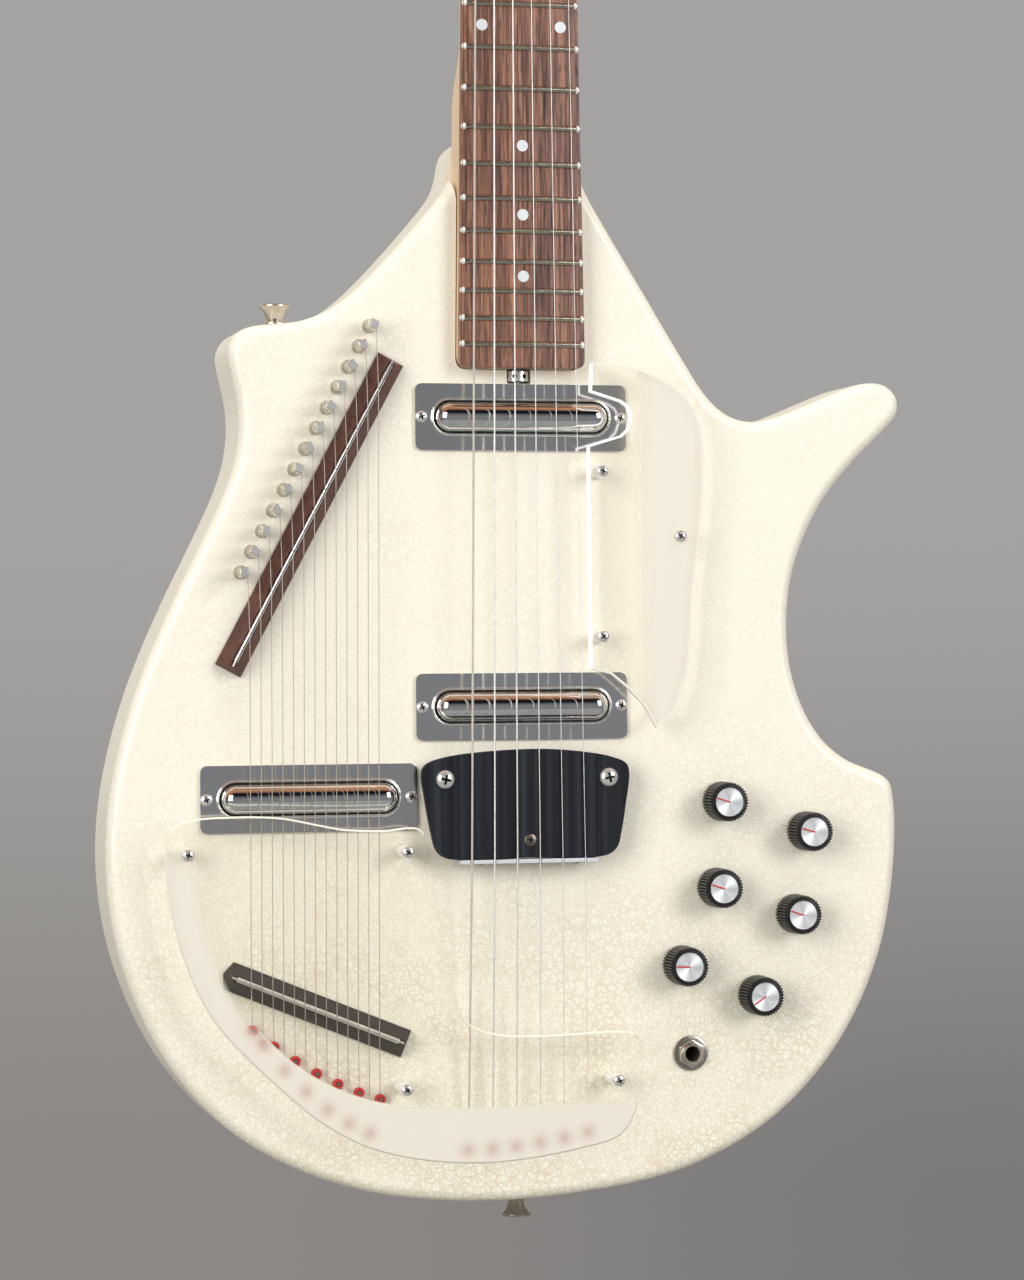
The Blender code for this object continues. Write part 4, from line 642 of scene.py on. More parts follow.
@dataclass(frozen=True)
class Plating:
    """Bright metal with fine scratches, dust and a slight stain."""

    name: str
    colour: Triple
    stain: Triple
    roughness: float = 0.08
    wear: float = 0.12
    metallic: float = 1.0
    dent: float = 0.0015

    def make(self) -> bpy.types.Material:
        """Build the material."""
        sheet = Sheet(self.name)
        scratches = sheet.noise(sheet.place(), 1600.0, 3.0, 0.7)
        clouds = sheet.noise(sheet.place(), 160.0, 3.0)
        worn = clouds.step(0.45, 0.75)
        sheet.set(Base_Color=sheet.mix(worn * 0.5, self.colour, self.stain),
                  Metallic=self.metallic,
                  Roughness=self.roughness + worn * self.wear + scratches * 0.05,
                  Normal=sheet.bump(scratches, self.dent))
        return sheet.material


@dataclass(frozen=True)
class Plastic:
    """Moulded plastic or paint with slight mottling and wear."""

    name: str
    colour: Triple
    worn: Triple
    roughness: float = 0.3
    coat: float = 0.0

    def make(self) -> bpy.types.Material:
        """Build the material."""
        sheet = Sheet(self.name)
        mottle = sheet.noise(sheet.place(), 300.0, 4.0, 0.6)
        fine = sheet.noise(sheet.place(), 2400.0, 2.0)
        sheet.set(Base_Color=sheet.mix(mottle.step(0.45, 0.8) * 0.6, self.colour, self.worn),
                  Roughness=self.roughness + mottle * 0.12,
                  Coat_Weight=self.coat,
                  Normal=sheet.bump(fine, 0.015))
        return sheet.material


@dataclass(frozen=True)
class SpunDisc:
    """Aluminium turned on a lathe: fine rings in its bump, and fan-shaped wedges of painted highlight and
    shade in its colour.
    """

    name: str
    centre: Vector
    colour: Triple = (0.90, 0.92, 0.95)

    def make(self) -> bpy.types.Material:
        """Build the material round the disc's centre, with four fan-shaped wedges of painted highlight and
        shade, of which two are brighter.
        """
        sheet = Sheet(self.name)
        here = sheet.mapped(shift=tuple(-self.centre))
        x = sheet.part_of(here, 0)
        z = sheet.part_of(here, 2)
        reach = (x * x + z * z).apply("SQRT")
        rings = (reach * (2 * math.pi / (0.22 * MM))).apply("SINE")
        ripple = sheet.noise(here, 900.0, 3.0)
        # Painted highlight and shade: the colour turns lighter and darker in wedges round the centre.
        angle = z.apply("ARCTAN2", x)
        four = (angle * 4).apply("COSINE") * -0.26
        two = (angle * 2 - math.pi / 2).apply("COSINE") * 0.26
        painted_fan_highlights = 0.48 + four + two + (ripple - 0.5) * 0.5
        shade = sheet.mix(painted_fan_highlights, tuple(part * 0.48 for part in self.colour), self.colour)
        sheet.set(Base_Color=shade, Metallic=0.25, Roughness=0.38 + ripple * 0.06,
                  Normal=sheet.bump(rings, 0.010))
        return sheet.material


@dataclass(frozen=True)
class BuzzBoard:
    """Matt black board, rubbed in stripes along the strings."""

    name: str = "buzz_board"
    black: Triple = (0.006, 0.0075, 0.011)
    rubbed: Triple = (0.019, 0.023, 0.030)

    def make(self) -> bpy.types.Material:
        """Build the material."""
        sheet = Sheet(self.name)
        stripes = sheet.noise(sheet.mapped((1, 0.02, 0.008)), 190.0, 4.0, 0.65)
        dust = sheet.noise(sheet.place(), 700.0, 3.0)
        rub = stripes.step(0.40, 0.72)
        sheet.set(Base_Color=sheet.mix(rub, self.black, self.rubbed),
                  Roughness=0.46 + rub * 0.14 + dust * 0.06, Specular_IOR_Level=0.22,
                  Normal=sheet.bump(stripes * 0.5 + dust * 0.1, 0.05))
        return sheet.material


@dataclass(frozen=True)
class WoundWire:
    """String wire; a wound one shows its turns."""

    name: str
    colour: Triple = (0.80, 0.79, 0.75)
    metallic: float = 0.55
    turn: float = 0.0

    def make(self) -> bpy.types.Material:
        """Build the material; turn is the winding's pitch in millimetres."""
        sheet = Sheet(self.name)
        tarnish = sheet.noise(sheet.place(), 220.0, 3.0)
        dull = tuple(part * 0.7 for part in self.colour)
        tone = sheet.mix(tarnish.step(0.4, 0.75) * 0.5, self.colour, dull)
        sheet.set(Base_Color=tone, Metallic=self.metallic, Roughness=0.30 + tarnish * 0.1)
        if self.turn:
            z = sheet.part_of(sheet.place(), 2)
            coils = (z * (2 * math.pi / (self.turn * MM))).apply("SINE")
            sheet.set(Normal=sheet.bump(coils, 0.04))
        return sheet.material


@dataclass(frozen=True)
class Acrylic:
    """Clear sheet, frosted on its underside where a mask says so."""

    name: str
    mask: Callable[[Sheet], Wire]
    spots: Sequence[Pair] = ()
    frost: Triple = (0.765, 0.715, 0.620)
    painted_show_through_colour: Triple = (0.50, 0.30, 0.27)
    spread: float = 3.2
    passes: float = 0.94

    def make(self) -> bpy.types.Material:
        """Build the material: clear, with frost that carries painted soft spots where things beneath show
        through, and lets most lamp light pass.
        """
        sheet = Sheet(self.name)
        haze = sheet.noise(sheet.place(), 60.0, 2.0)
        clear = sheet.add("ShaderNodeBsdfTransparent", None, {"Color": (0.992, 0.99, 0.982)})
        sheen = sheet.add("ShaderNodeLayerWeight", None, {"Blend": 0.22}, "Facing")
        presence = 0.01 + sheen * 0.10
        shade = sheet.add("ShaderNodeLightPath", out="Is Shadow Ray")
        bounce = sheet.add("ShaderNodeLightPath", out="Is Diffuse Ray")
        passed = 1 - shade.apply("MAXIMUM", bounce) * self.passes
        frosted = self.mask(sheet)
        presence = presence.apply("MAXIMUM", frosted * (0.84 + haze * 0.08))
        # Painted show-through: on the cover, the frost's colour takes reddish spots where the string ends
        # beneath would show through it.
        behind = sheet.mix(self.shadow(sheet), self.frost, self.painted_show_through_colour) if self.spots else self.frost
        sheet.set(Base_Color=behind, Roughness=0.20 + frosted * 0.28)
        mixed = sheet.add("ShaderNodeMixShader", None,
                          {0: presence * passed, 1: clear, 2: Wire(sheet, sheet.surface.outputs[0])})
        sheet.feed(sheet.output.inputs["Surface"], mixed)
        return sheet.material

    def shadow(self, sheet: Sheet) -> Wire:
        """Painted show-through: how much of the blurred things behind shows, as one painted soft spot for
        each.
        """
        x = sheet.part_of(sheet.place(), 0)
        z = sheet.part_of(sheet.place(), 2)
        total: Wire | float = 0.0
        for spot_x, spot_z in self.spots:
            across = x - spot_x * MM
            along = z - spot_z * MM
            square = (across * across + along * along) * (-1 / (self.spread * MM) ** 2)
            total = total + square.apply("EXPONENT") * 0.55
        return total


@dataclass(frozen=True)
class AcrylicEdge:
    """The sawn and polished edge of a clear sheet, which gathers light: its pale colour is painted highlight
    and its emission a painted glow.
    """

    name: str = "acrylic_edge"
    colour: Triple = (0.95, 0.945, 0.93)
    painted_glow: float = 0.30

    def make(self) -> bpy.types.Material:
        """Build the material."""
        sheet = Sheet(self.name)
        saw = sheet.noise(sheet.place(), 500.0, 3.0)
        # Painted highlight and glow: a pale colour and a little emission stand for the light the edge
        # gathers.
        sheet.set(Base_Color=sheet.mix(saw * 0.3, self.colour, tuple(part * 0.9 for part in self.colour)),
                  Roughness=0.28 + saw * 0.1, Emission_Color=(1.0, 0.99, 0.97), Emission_Strength=self.painted_glow,
                  Normal=sheet.bump(saw, 0.02))
        return sheet.material


class Finishes:
    """Every finish of the instrument, made once."""

    def __init__(self) -> None:
        """Make the finishes."""
        self.lacquer = CrackleLacquer().make()
        rose = dict(dark=(0.030, 0.016, 0.014), middle=(0.185, 0.080, 0.055), light=(0.42, 0.20, 0.12),
                    pore=(0.016, 0.008, 0.007))
        self.rosewood = OpenWood("rosewood_board", contrast=2.9, streak=900.0, **rose).make()
        self.bridge_wood = OpenWood("rosewood_bridge", grain=-28.2, pores=0.6, dark=(0.022, 0.009, 0.007),
                                    middle=(0.098, 0.034, 0.025), light=(0.23, 0.085, 0.055),
                                    pore=(0.012, 0.006, 0.005), contrast=1.4, roughness=0.5).make()
        self.dark_wood = OpenWood("dark_rosewood", grain=67.7, pores=0.5, dark=(0.012, 0.008, 0.008),
                                  middle=(0.030, 0.021, 0.020), light=(0.060, 0.043, 0.040),
                                  pore=(0.007, 0.005, 0.005), contrast=1.3, roughness=0.55).make()
        self.maple = OpenWood("maple", dark=(0.62, 0.40, 0.22), middle=(0.80, 0.57, 0.35),
                              light=(0.87, 0.67, 0.45), pore=(0.46, 0.28, 0.14), pores=0.12,
                              roughness=0.30, streak=240.0).make()
        self.chrome = Plating("chrome", (0.88, 0.885, 0.90), (0.74, 0.73, 0.71), 0.035, 0.04).make()
        self.bezel = Plating("bezel_plating", (0.86, 0.865, 0.88), (0.78, 0.78, 0.79), 0.08, 0.05).make()
        self.nickel = Plating("nickel", (0.72, 0.68, 0.59), (0.46, 0.42, 0.34), 0.20, 0.12,
                              metallic=0.95, dent=0.004).make()
        self.lip = Plating("bezel_lip", (0.93, 0.91, 0.86), (0.84, 0.82, 0.77), 0.10, 0.08,
                           metallic=0.85).make()
        # Fret ends: a paler, less metallic copy of the fret metal, which is painted highlight at the ends.
        self.fret_end = Plating("fret_end", (0.95, 0.94, 0.90), (0.86, 0.84, 0.79), 0.25, 0.10,
                                metallic=0.3).make()
        # Pin tops: a paler, less metallic copy of the nickel, which is painted highlight on the heads' front
        # faces.
        self.pin_top = Plating("pin_top", (0.74, 0.73, 0.71), (0.60, 0.58, 0.54), 0.24, 0.10,
                               metallic=0.72).make()
        self.rusty = Plating("stained_screw", (0.24, 0.20, 0.16), (0.08, 0.06, 0.05), 0.35, 0.20).make()
        self.dark_nickel = Plating("aged_nickel", (0.50, 0.46, 0.40), (0.28, 0.25, 0.20), 0.22, 0.16).make()
        self.screw = Plating("screw_steel", (0.78, 0.77, 0.75), (0.55, 0.52, 0.47), 0.22, 0.12,
                             metallic=0.7).make()
        self.recess = Plating("recess_shadow", (0.035, 0.032, 0.028), (0.012, 0.011, 0.010), 0.45,
                              0.2).make()
        self.fret = Plating("fret_wire", (0.56, 0.53, 0.44), (0.42, 0.39, 0.31), 0.20, 0.10).make()
        self.aluminium = Plating("aluminium", (0.80, 0.81, 0.83), (0.66, 0.66, 0.67), 0.34, 0.12,
                                 metallic=0.5).make()
        self.black = Plastic("black_plastic", (0.006, 0.006, 0.0055), (0.014, 0.013, 0.012), 0.30,
                             0.12).make()
        # Knob ridges: brown on the black plastic, which is painted highlight and reflection of the cream
        # body.
        self.rubbed_black = Plastic("rubbed_black", (0.25, 0.205, 0.145), (0.31, 0.26, 0.185), 0.35).make()
        self.milky = Plastic("milky_spacer", (0.90, 0.88, 0.82), (0.84, 0.80, 0.72), 0.30, 0.2).make()
        self.red = Plastic("red_paint", (0.55, 0.014, 0.014), (0.42, 0.012, 0.012), 0.35, 0.15).make()
        self.ivory = Plastic("ivory_plastic", (0.80, 0.74, 0.60), (0.70, 0.62, 0.46), 0.25, 0.3).make()
        self.pearl = Plastic("dot_pearl", (0.76, 0.79, 0.81), (0.56, 0.58, 0.60), 0.34, 0.3).make()
        self.hardboard = Plastic("painted_hardboard", (0.80, 0.75, 0.62), (0.68, 0.62, 0.48), 0.45).make()
        self.board = BuzzBoard(rubbed=(0.028, 0.034, 0.043)).make()
        # Edge, soft edge and rim: painted highlight on the sheets' edges, the edge and rim also with a
        # painted glow.
        self.edge = AcrylicEdge().make()
        self.soft_edge = AcrylicEdge("acrylic_soft_edge", (0.84, 0.79, 0.69), 0.0).make()
        self.rim = AcrylicEdge("acrylic_rim", (0.80, 0.76, 0.67), 0.02).make()
        self.plain_wire = WoundWire("plain_wire", (0.76, 0.75, 0.72), 0.5).make()
        self.drone_wire = WoundWire("drone_wire", (0.44, 0.40, 0.34), 0.35).make()
        self.wound_wire = WoundWire("wound_wire", (0.70, 0.67, 0.60), 0.4, 0.35).make()
        self.thread = WoundWire("threaded_rod", (0.72, 0.70, 0.64), 0.9, 0.36).make()


# Small fittings

class ScrewHead(Enum):
    """Sizes of the cross-recess screws: radius, height and length below the head."""

    TINY = (1.6, 1.0, 0.8)
    SMALL = (2.6, 1.4, 3.0)
    BRIDGE = (4.1, 2.5, 3.0)
    FLAT = (2.7, 0.6, 2.0)


class Fittings:
    """Makes each kind of screw once and sets copies where they are wanted."""

    def __init__(self, finishes: Finishes) -> None:
        """Model one screw of each size, facing the front at the origin."""
        self.finishes = finishes
        self.patterns = {kind: self._screw(kind) for kind in ScrewHead}

    @staticmethod
    def _screw(kind: ScrewHead) -> Work:
        """A pan head with a cross recess."""
        radius, height, shank = kind.value
        profile = [(0, -shank), (0.45 * radius, -shank), (0.45 * radius, 0), (radius, 0),
                   (radius, 0.22 * height)]
        profile += [(radius * math.cos(a), height * (0.22 + 0.78 * math.sin(a)))
                    for a in (math.radians(step) for step in (20, 40, 60, 75))]
        profile.append((0, height))
        head = Work.turned(f"pattern_{kind.name.lower()}", profile, Vector(), 20)
        arm = 0.55 * radius
        for name, size in (("recess_a", (2 * arm, 0.26 * radius)), ("recess_b", (0.26 * radius, 2 * arm))):
            tool = Work.plate(name, block_outline((0, 0), size, 0.1 * radius, 2), height + 1, 0.25 * height)
            tool.moved(Matrix.Translation((0, -BODY_FRONT * MM, 0)))
            head.cut(tool)

        def inside(centre: Vector, normal: Vector) -> bool:
            """Whether a face belongs to the recess."""
            near = math.hypot(centre.x, centre.z) < (arm + 0.05 * radius) * MM
            high = -centre.y / MM
            return near and high > 0.1 * height and (abs(normal.y) < 0.5 or high < 0.5 * height)

        return head.marked(inside)

    def screw(self, kind: ScrewHead, place: Vector, name: str, turn: float,
              material: bpy.types.Material | None = None, slot: str = "nickel",
              facing: Facing = Facing.FRONT) -> Work:
        """Set a screw.

        Args:
            kind: Its size.
            place: Where its head seats, in metres.
            name: The piece's name.
            turn: How far its cross is turned, in degrees.
            material: Its finish, screw steel if none is given.
            slot: The record's material slot.
            facing: The way its head looks.

        Returns:
            The screw.
        """
        work = self.patterns[kind].copied(name, Vector(), math.radians(turn))
        work.moved(Facing.FRONT.value.rotation_difference(facing.value).to_matrix().to_4x4())
        work.moved(Matrix.Translation(place)).smooth(40)
        return work.dressed(material or self.finishes.screw, slot, others=(self.finishes.recess,))

    def cleared(self) -> None:
        """Put the patterns away."""
        for pattern in self.patterns.values():
            pattern.discarded()


# Body

@dataclass
class Body:
    """The solid body with its lacquer, and what closes it behind."""

    finishes: Finishes
    fittings: Fittings
    edge: float = 5.4
    knots: Sequence[Pair] = (
        (-13.0, -352.8), (-21.2, -354.6), (-26.4, -360.0), (-28.4, -369.0), (-31.1, -376.7),
        (-39.8, -388.2), (-50.7, -400.8), (-64.7, -415.8), (-76.0, -426.2), (-85.5, -432.4),
        (-96.5, -436.5), (-110.3, -438.1), (-117.5, -439.2), (-123.6, -442.2), (-127.2, -448.6),
        (-126.2, -457.8), (-123.8, -468.5), (-122.7, -481.0), (-124.5, -496.0), (-130.7, -513.8),
        (-149.1, -551.5), (-166.2, -590.5), (-177.2, -628.2), (-181.3, -666.0), (-175.4, -709.3),
        (-156.2, -752.9), (-130.1, -782.5), (-100.6, -800.8), (-64.4, -813.2), (-19.8, -818.3),
        (27.3, -816.3), (74.0, -807.7), (116.3, -785.8), (147.4, -751.9), (166.6, -709.5),
        (172.9, -665.0), (172.2, -645.0), (170.2, -638.2), (164.6, -634.4), (152.0, -629.4),
        (140.5, -620.9), (131.0, -607.0), (124.2, -586.0), (123.3, -560.0), (127.7, -538.2),
        (140.0, -513.0), (157.0, -493.1), (169.9, -480.8), (175.3, -474.0), (175.2, -466.4),
        (169.4, -461.0), (159.0, -460.6), (145.0, -465.3), (122.0, -474.6), (108.0, -478.0),
        (96.5, -475.4), (87.0, -467.6), (78.0, -454.6), (57.0, -420.3), (38.0, -389.2),
        (31.0, -376.6), (28.2, -368.0), (26.2, -359.6), (21.0, -354.4), (13.0, -352.8))
    pocket_end: float = -456.7
    pocket_tip: float = -373.0
    pocket_half: Pair = (28.3, 27.1)
    pocket_floor: float = -15.5
    cavity: Sequence[Pair] = ((58, -628), (120, -628), (146, -652), (148, -700), (128, -742), (96, -774),
                              (58, -774))
    jack: Pair = (75.5, -756.6)
    cover_screws: Sequence[Pair] = ((64, -622), (118, -624), (152, -655), (153, -700), (130, -750),
                                    (98, -780), (57, -780), (52, -700))

    def pocket(self) -> Work:
        """The neck's pocket, open at the top."""
        half, tip_half = self.pocket_half
        low = round_end(half, self.pocket_end, 5.0)
        flare = [(tip_half + 0.3, self.pocket_tip - 10), (tip_half + 0.9, self.pocket_tip - 6),
                 (tip_half + 2.2, self.pocket_tip - 2.4), (tip_half + 3.8, self.pocket_tip)]
        rest = flare + [(56, self.pocket_tip), (56, -300), (-56, -300), (-56, self.pocket_tip)]
        rest += [(-x, z) for x, z in reversed(flare)]
        return Work.plate("pocket", low + rest, 20, self.pocket_floor)

    def build(self) -> None:
        """Model the body and cut its pocket, slot, routes and cavity."""
        outline = smooth_curve(self.knots, 7, False)
        body = Work.plate("body_shell", outline, 0, BODY_FRONT - BODY_BACK)
        body.applied("BEVEL", width=self.edge * MM, segments=6, limit_method="ANGLE",
                     angle_limit=math.radians(60), use_clamp_overlap=False)
        tools = [self.pocket(), Work.plate("slot", block_outline((0, -458.5), (10.6, 8.4), 0.8), 20, -8.3)]
        for place in Pickup.PLACES.values():
            tools.append(Work.plate("route", slot_outline(place, 79, 14.6), 20, -19))
        tools.append(Work.plate("cavity", rounded(self.cavity, 9.0), -5, -50))
        tools.append(Work.plate("jack_hole", circle_outline(self.jack, 4.9, 24), 20, -10))
        body.cut(*tools)
        body.smooth(32).dressed(self.finishes.lacquer, "cream_lacquer", replaces=("body",))

    def dress(self) -> None:
        """Finish the pieces behind."""
        recolour("back_cover", self.finishes.hardboard)
        recolour("neck_plate", self.finishes.chrome)
        for number, (x, z) in enumerate(self.cover_screws, start=1):
            self.fittings.screw(ScrewHead.FLAT, Vector((x, BODY_BACK, z)) * MM, f"cover_screw_{number}",
                                31 * number, facing=Facing.BACK)


def recolour(node: str, material: bpy.types.Material) -> None:
    """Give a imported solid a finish."""
    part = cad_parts[node]
    part.data.materials.clear()
    part.data.materials.append(material)


# Neck

@dataclass
class Neck:
    """The neck with its fingerboard, frets and dots."""

    finishes: Finishes
    scale: float = 635.0
    frets: int = 21
    length: float = 456.4
    halves: Pair = (21.5, 28.0)
    thickness: float = 5.0
    camber: float = 355.0
    corner: float = 4.3
    dot: float = 2.5

    def half_at(self, z: float) -> float:
        """Half the board's width at a height."""
        return self.halves[0] + (self.halves[1] - self.halves[0]) * -z / self.length

    def fret_z(self, number: int) -> float:
        """A fret's height by equal temperament."""
        return -self.scale * (1 - 2 ** (-number / 12))

    def sag(self, x: float) -> float:
        """How far the board falls away from its middle, in millimetres."""
        return x * x / (2 * self.camber)

    def build(self) -> None:
        """Model board, frets and dots."""
        end = self.half_at(-self.length)
        outline = [(self.halves[0], 0), (-self.halves[0], 0)]
        outline += round_end(end, -self.length, self.corner)
        board = Work.plate("board", outline, BODY_FRONT, BODY_FRONT - self.thickness)
        with editing(board.part):
            for x in range(-24, 25, 4):
                bpy.ops.mesh.select_all(action="SELECT")
                bpy.ops.mesh.bisect(plane_co=(x * MM, 0, 0), plane_no=(1, 0, 0))
        board.shaped(lambda p: Vector((p.x, p.y + (self.sag(p.x / MM) * MM if p.y < 0.5 * MM else 0), p.z)))
        board.beveled(0.35, 2, 50).smooth(40)
        board.dressed(self.finishes.rosewood, "rosewood", replaces=("fingerboard",))
        bars = []
        beads = []
        for number in range(1, self.frets + 1):
            z = self.fret_z(number)
            half = self.half_at(z) - 0.3
            path = [Vector((half * share, self.sag(half * share) + 0.15, z)) * MM
                    for share in (-1, -0.97, -0.66, -0.33, 0, 0.33, 0.66, 0.97, 1)]
            bars.append(Work.tube(f"fret_{number}", path, 1.35, 3))
            # Each fret ends in a bead with the pale fret end finish: painted highlight where the ends catch
            # light.
            arc = [math.radians(step) for step in range(-90, 91, 30)]
            for way in (-1, 1):
                centre = Vector((way * (half - 0.9), self.sag(half) + 0.1, z)) * MM
                bead = [(1.5 * math.cos(a), 1.5 * math.sin(a)) for a in arc]
                beads.append(Work.turned("bead", bead, centre, 12, Facing.UP.value))
        for name, group, finish in (("frets", bars, self.finishes.fret),
                                    ("fret_ends", beads, self.finishes.fret_end)):
            group[0].gathered(*group[1:])
            group[0].part.name = name
            group[0].smooth(50).dressed(finish, "nickel")
        self.dots()

    def dots(self) -> None:
        """Set the position dots into the board."""
        places: list[Pair] = [(0.3, self.middle(number)) for number in (3, 5, 7, 9, 15, 17, 19)]
        places += [(-17.2, self.middle(12)), (17.8, self.middle(12))]
        discs = []
        for number, (x, z) in enumerate(places, start=1):
            top = self.sag(abs(x)) - 0.12
            profile = ((0, -1.0), (self.dot, -1.0), (self.dot, 0), (0, 0))
            centre = Vector((x, top, z)) * MM
            discs.append(Work.turned(f"dot_{number}", profile, centre, 28))
        discs[0].gathered(*discs[1:])
        discs[0].part.name = "dots"
        discs[0].smooth(40).dressed(self.finishes.pearl, "aluminium")

    def middle(self, number: int) -> float:
        """Height midway between a fret and the one before."""
        return (self.fret_z(number) + self.fret_z(number - 1)) / 2

    def dress(self) -> None:
        """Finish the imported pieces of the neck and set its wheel."""
        recolour("neck", self.finishes.maple)
        recolour("nut", self.finishes.aluminium)
        self.wheel()
        recolour("truss_rod", self.finishes.screw)
        recolour("tuner_plate", self.finishes.chrome)
        for number in range(1, 7):
            recolour(f"tuner_post_{number}", self.finishes.chrome)
            recolour(f"tuner_button_{number}", self.finishes.ivory)

    def wheel(self) -> None:
        """The truss rod's wheel, with a ring of holes for a tommy bar."""
        centre = Vector((0, 11.5, -459.5)) * MM
        radius, half, hole, count = 5.0, 2.5, 1.05, 7
        profile = ((2.3, -half), (radius - 0.35, -half), (radius, 0.3 - half), (radius, half - 0.3),
                   (radius - 0.35, half), (2.3, half))
        wheel = Work.turned("truss_wheel_turned", (*profile, profile[0]), centre, 42, Facing.UP.value)
        for number in range(count):
            angle = 2 * math.pi * (number + 0.5) / count - math.pi / 2
            outwards = Vector((math.cos(angle), math.sin(angle), 0))
            tool = Work.turned("bar_hole", ((0, 2.8), (hole, 2.8), (hole, 7), (0, 7)), centre, 16, outwards)
            wheel.cut(tool)

        def bored(point: Vector, _: Vector) -> bool:
            """Whether a face lies in a hole."""
            reach = math.hypot(point.x - centre.x, point.y - centre.y)
            return 2.4 * MM < reach < (radius - 0.12) * MM and abs(point.z - centre.z) < (half - 0.1) * MM

        wheel.marked(bored).smooth(35)
        wheel.dressed(self.finishes.screw, "nickel", "truss_wheel", ("truss_wheel",),
                      (self.finishes.recess,))


# Pickups

@dataclass
class Pickup:
    """A chrome tube in a flat bezel with a raised lip."""

    finishes: Finishes
    fittings: Fittings
    name: str
    tube_length: float = 77.0
    tube_radius: float = 6.5
    tube_height: float = 1.0
    size: Pair = (94.7, 29.0)
    corner: float = 3.5
    screw_reach: float = 44.6
    PLACES = {"neck": (0.7, -477.5), "bridge": (0.2, -603.2), "drone": (-94.1, -641.8)}

    def build(self) -> None:
        """Model tube, bezel, lip and screws."""
        place = self.PLACES[self.name]
        top = 1.5
        bezel = Work.plate(f"{self.name}_bezel", block_outline(place, self.size, self.corner), top, 0.3)
        bezel.cut(Work.plate("slot", slot_outline(place, self.tube_length + 1.2, 14.2), 5, -5))
        bezel.beveled(0.18, 2, 50)
        bead = slot_outline(place, self.tube_length + 2.6, 15.6)
        lip = Work.tube("lip", [at(x, z, top + 0.2) for x, z in bead], 0.62, 4, closed=True)
        lip.smooth(60).dressed(self.finishes.lip, "chrome")
        lip.part.name = f"{self.name}_lip"
        bezel.smooth(40).dressed(self.finishes.bezel, "plated_bezel",
                                 replaces=(f"{self.name}_pickup_bezel",))
        radius = self.tube_radius
        straight = self.tube_length / 2 - radius
        dome = [(radius * math.cos(a), straight + radius * math.sin(a))
                for a in (math.radians(step) for step in range(0, 90, 9))]
        profile = [(0, -straight - radius)] + [(r, -d) for r, d in reversed(dome)] + dome
        profile.append((0, straight + radius))
        centre = at(place[0], place[1], self.tube_height)
        tube = Work.turned(f"{self.name}_tube", profile, centre, 48, Vector((1, 0, 0)))
        tube.smooth(50).dressed(self.finishes.chrome, "chrome", replaces=(f"{self.name}_pickup_tube",))
        for side in (-1, 1):
            self.fittings.screw(ScrewHead.SMALL, at(place[0] + side * self.screw_reach, place[1], top),
                                f"{self.name}_bezel_screw_{'left' if side < 0 else 'right'}", 20 * side)


# Main strings and their bridge

@dataclass
class Bridge:
    """The chromed base, the black buzz plate and the saddle strip."""

    finishes: Finishes
    fittings: Fittings
    ear_top: float = 10.2
    thickness: float = 3.4
    knots: Sequence[Pair] = ((-46.6, -632.2), (-45.2, -628.3), (-38.2, -625.3), (-20.0, -622.7),
                             (9.2, -621.7), (30.0, -623.7), (39.5, -625.9), (44.4, -628.3),
                             (45.8, -632.0), (44.4, -644.0), (41.9, -659.0), (40.2, -664.6),
                             (35.6, -668.1), (0.0, -668.4), (-35.1, -668.5), (-39.8, -665.6),
                             (-42.2, -658.8), (-45.4, -641.0))
    hump: Pair = (30.5, 1.0)

    def build(self) -> None:
        """Model the plate, its hump, its screws and the strip."""
        outline = smooth_curve(self.knots, 6, True)
        plate = Work.plate("buzz_board", outline, self.ear_top, self.ear_top - self.thickness)
        half, rise = self.hump
        inner = [(x * 0.995, -645.0 + (z + 645.0) * 0.995) for x, z in outline]
        raised = Work.plate("raised", inner, self.ear_top + rise, self.ear_top - 1)
        raised.kept(Work.plate("strip", block_outline((0, -645), (2 * half, 80), 0.3, 1), 20, 0))
        plate.joined(raised.beveled(0.6, 2, 50))
        for x in (-36.5, 36.5):
            plate.cut(Work.plate("hole", circle_outline((x, -634.5), 2.3, 24), 20, 0))
        plate.beveled(0.3, 2, 50).smooth(35)
        plate.dressed(self.finishes.board, "buzz_plate_black", replaces=("buzz_plate",))
        for name, x in (("left", -36.5), ("right", 36.5)):
            place = at(x, -634.3, self.ear_top)
            self.fittings.screw(ScrewHead.BRIDGE, place, f"height_screw_{name}", 12 * x)
        self.fittings.screw(ScrewHead.FLAT, at(1.0, -660.9, self.ear_top + rise - 0.2), "plate_screw", 8,
                            self.finishes.rusty)
        self.base()

    def base(self) -> None:
        """The chromed base under the plate, with the height screws' posts."""
        base = Work.plate("bridge_foot", block_outline((0, -649), (78, 33), 4.0), 6.5, 0.3)
        base.beveled(0.4, 2, 50).smooth(40)
        base.dressed(self.finishes.chrome, "chrome", replaces=("bridge_base",))


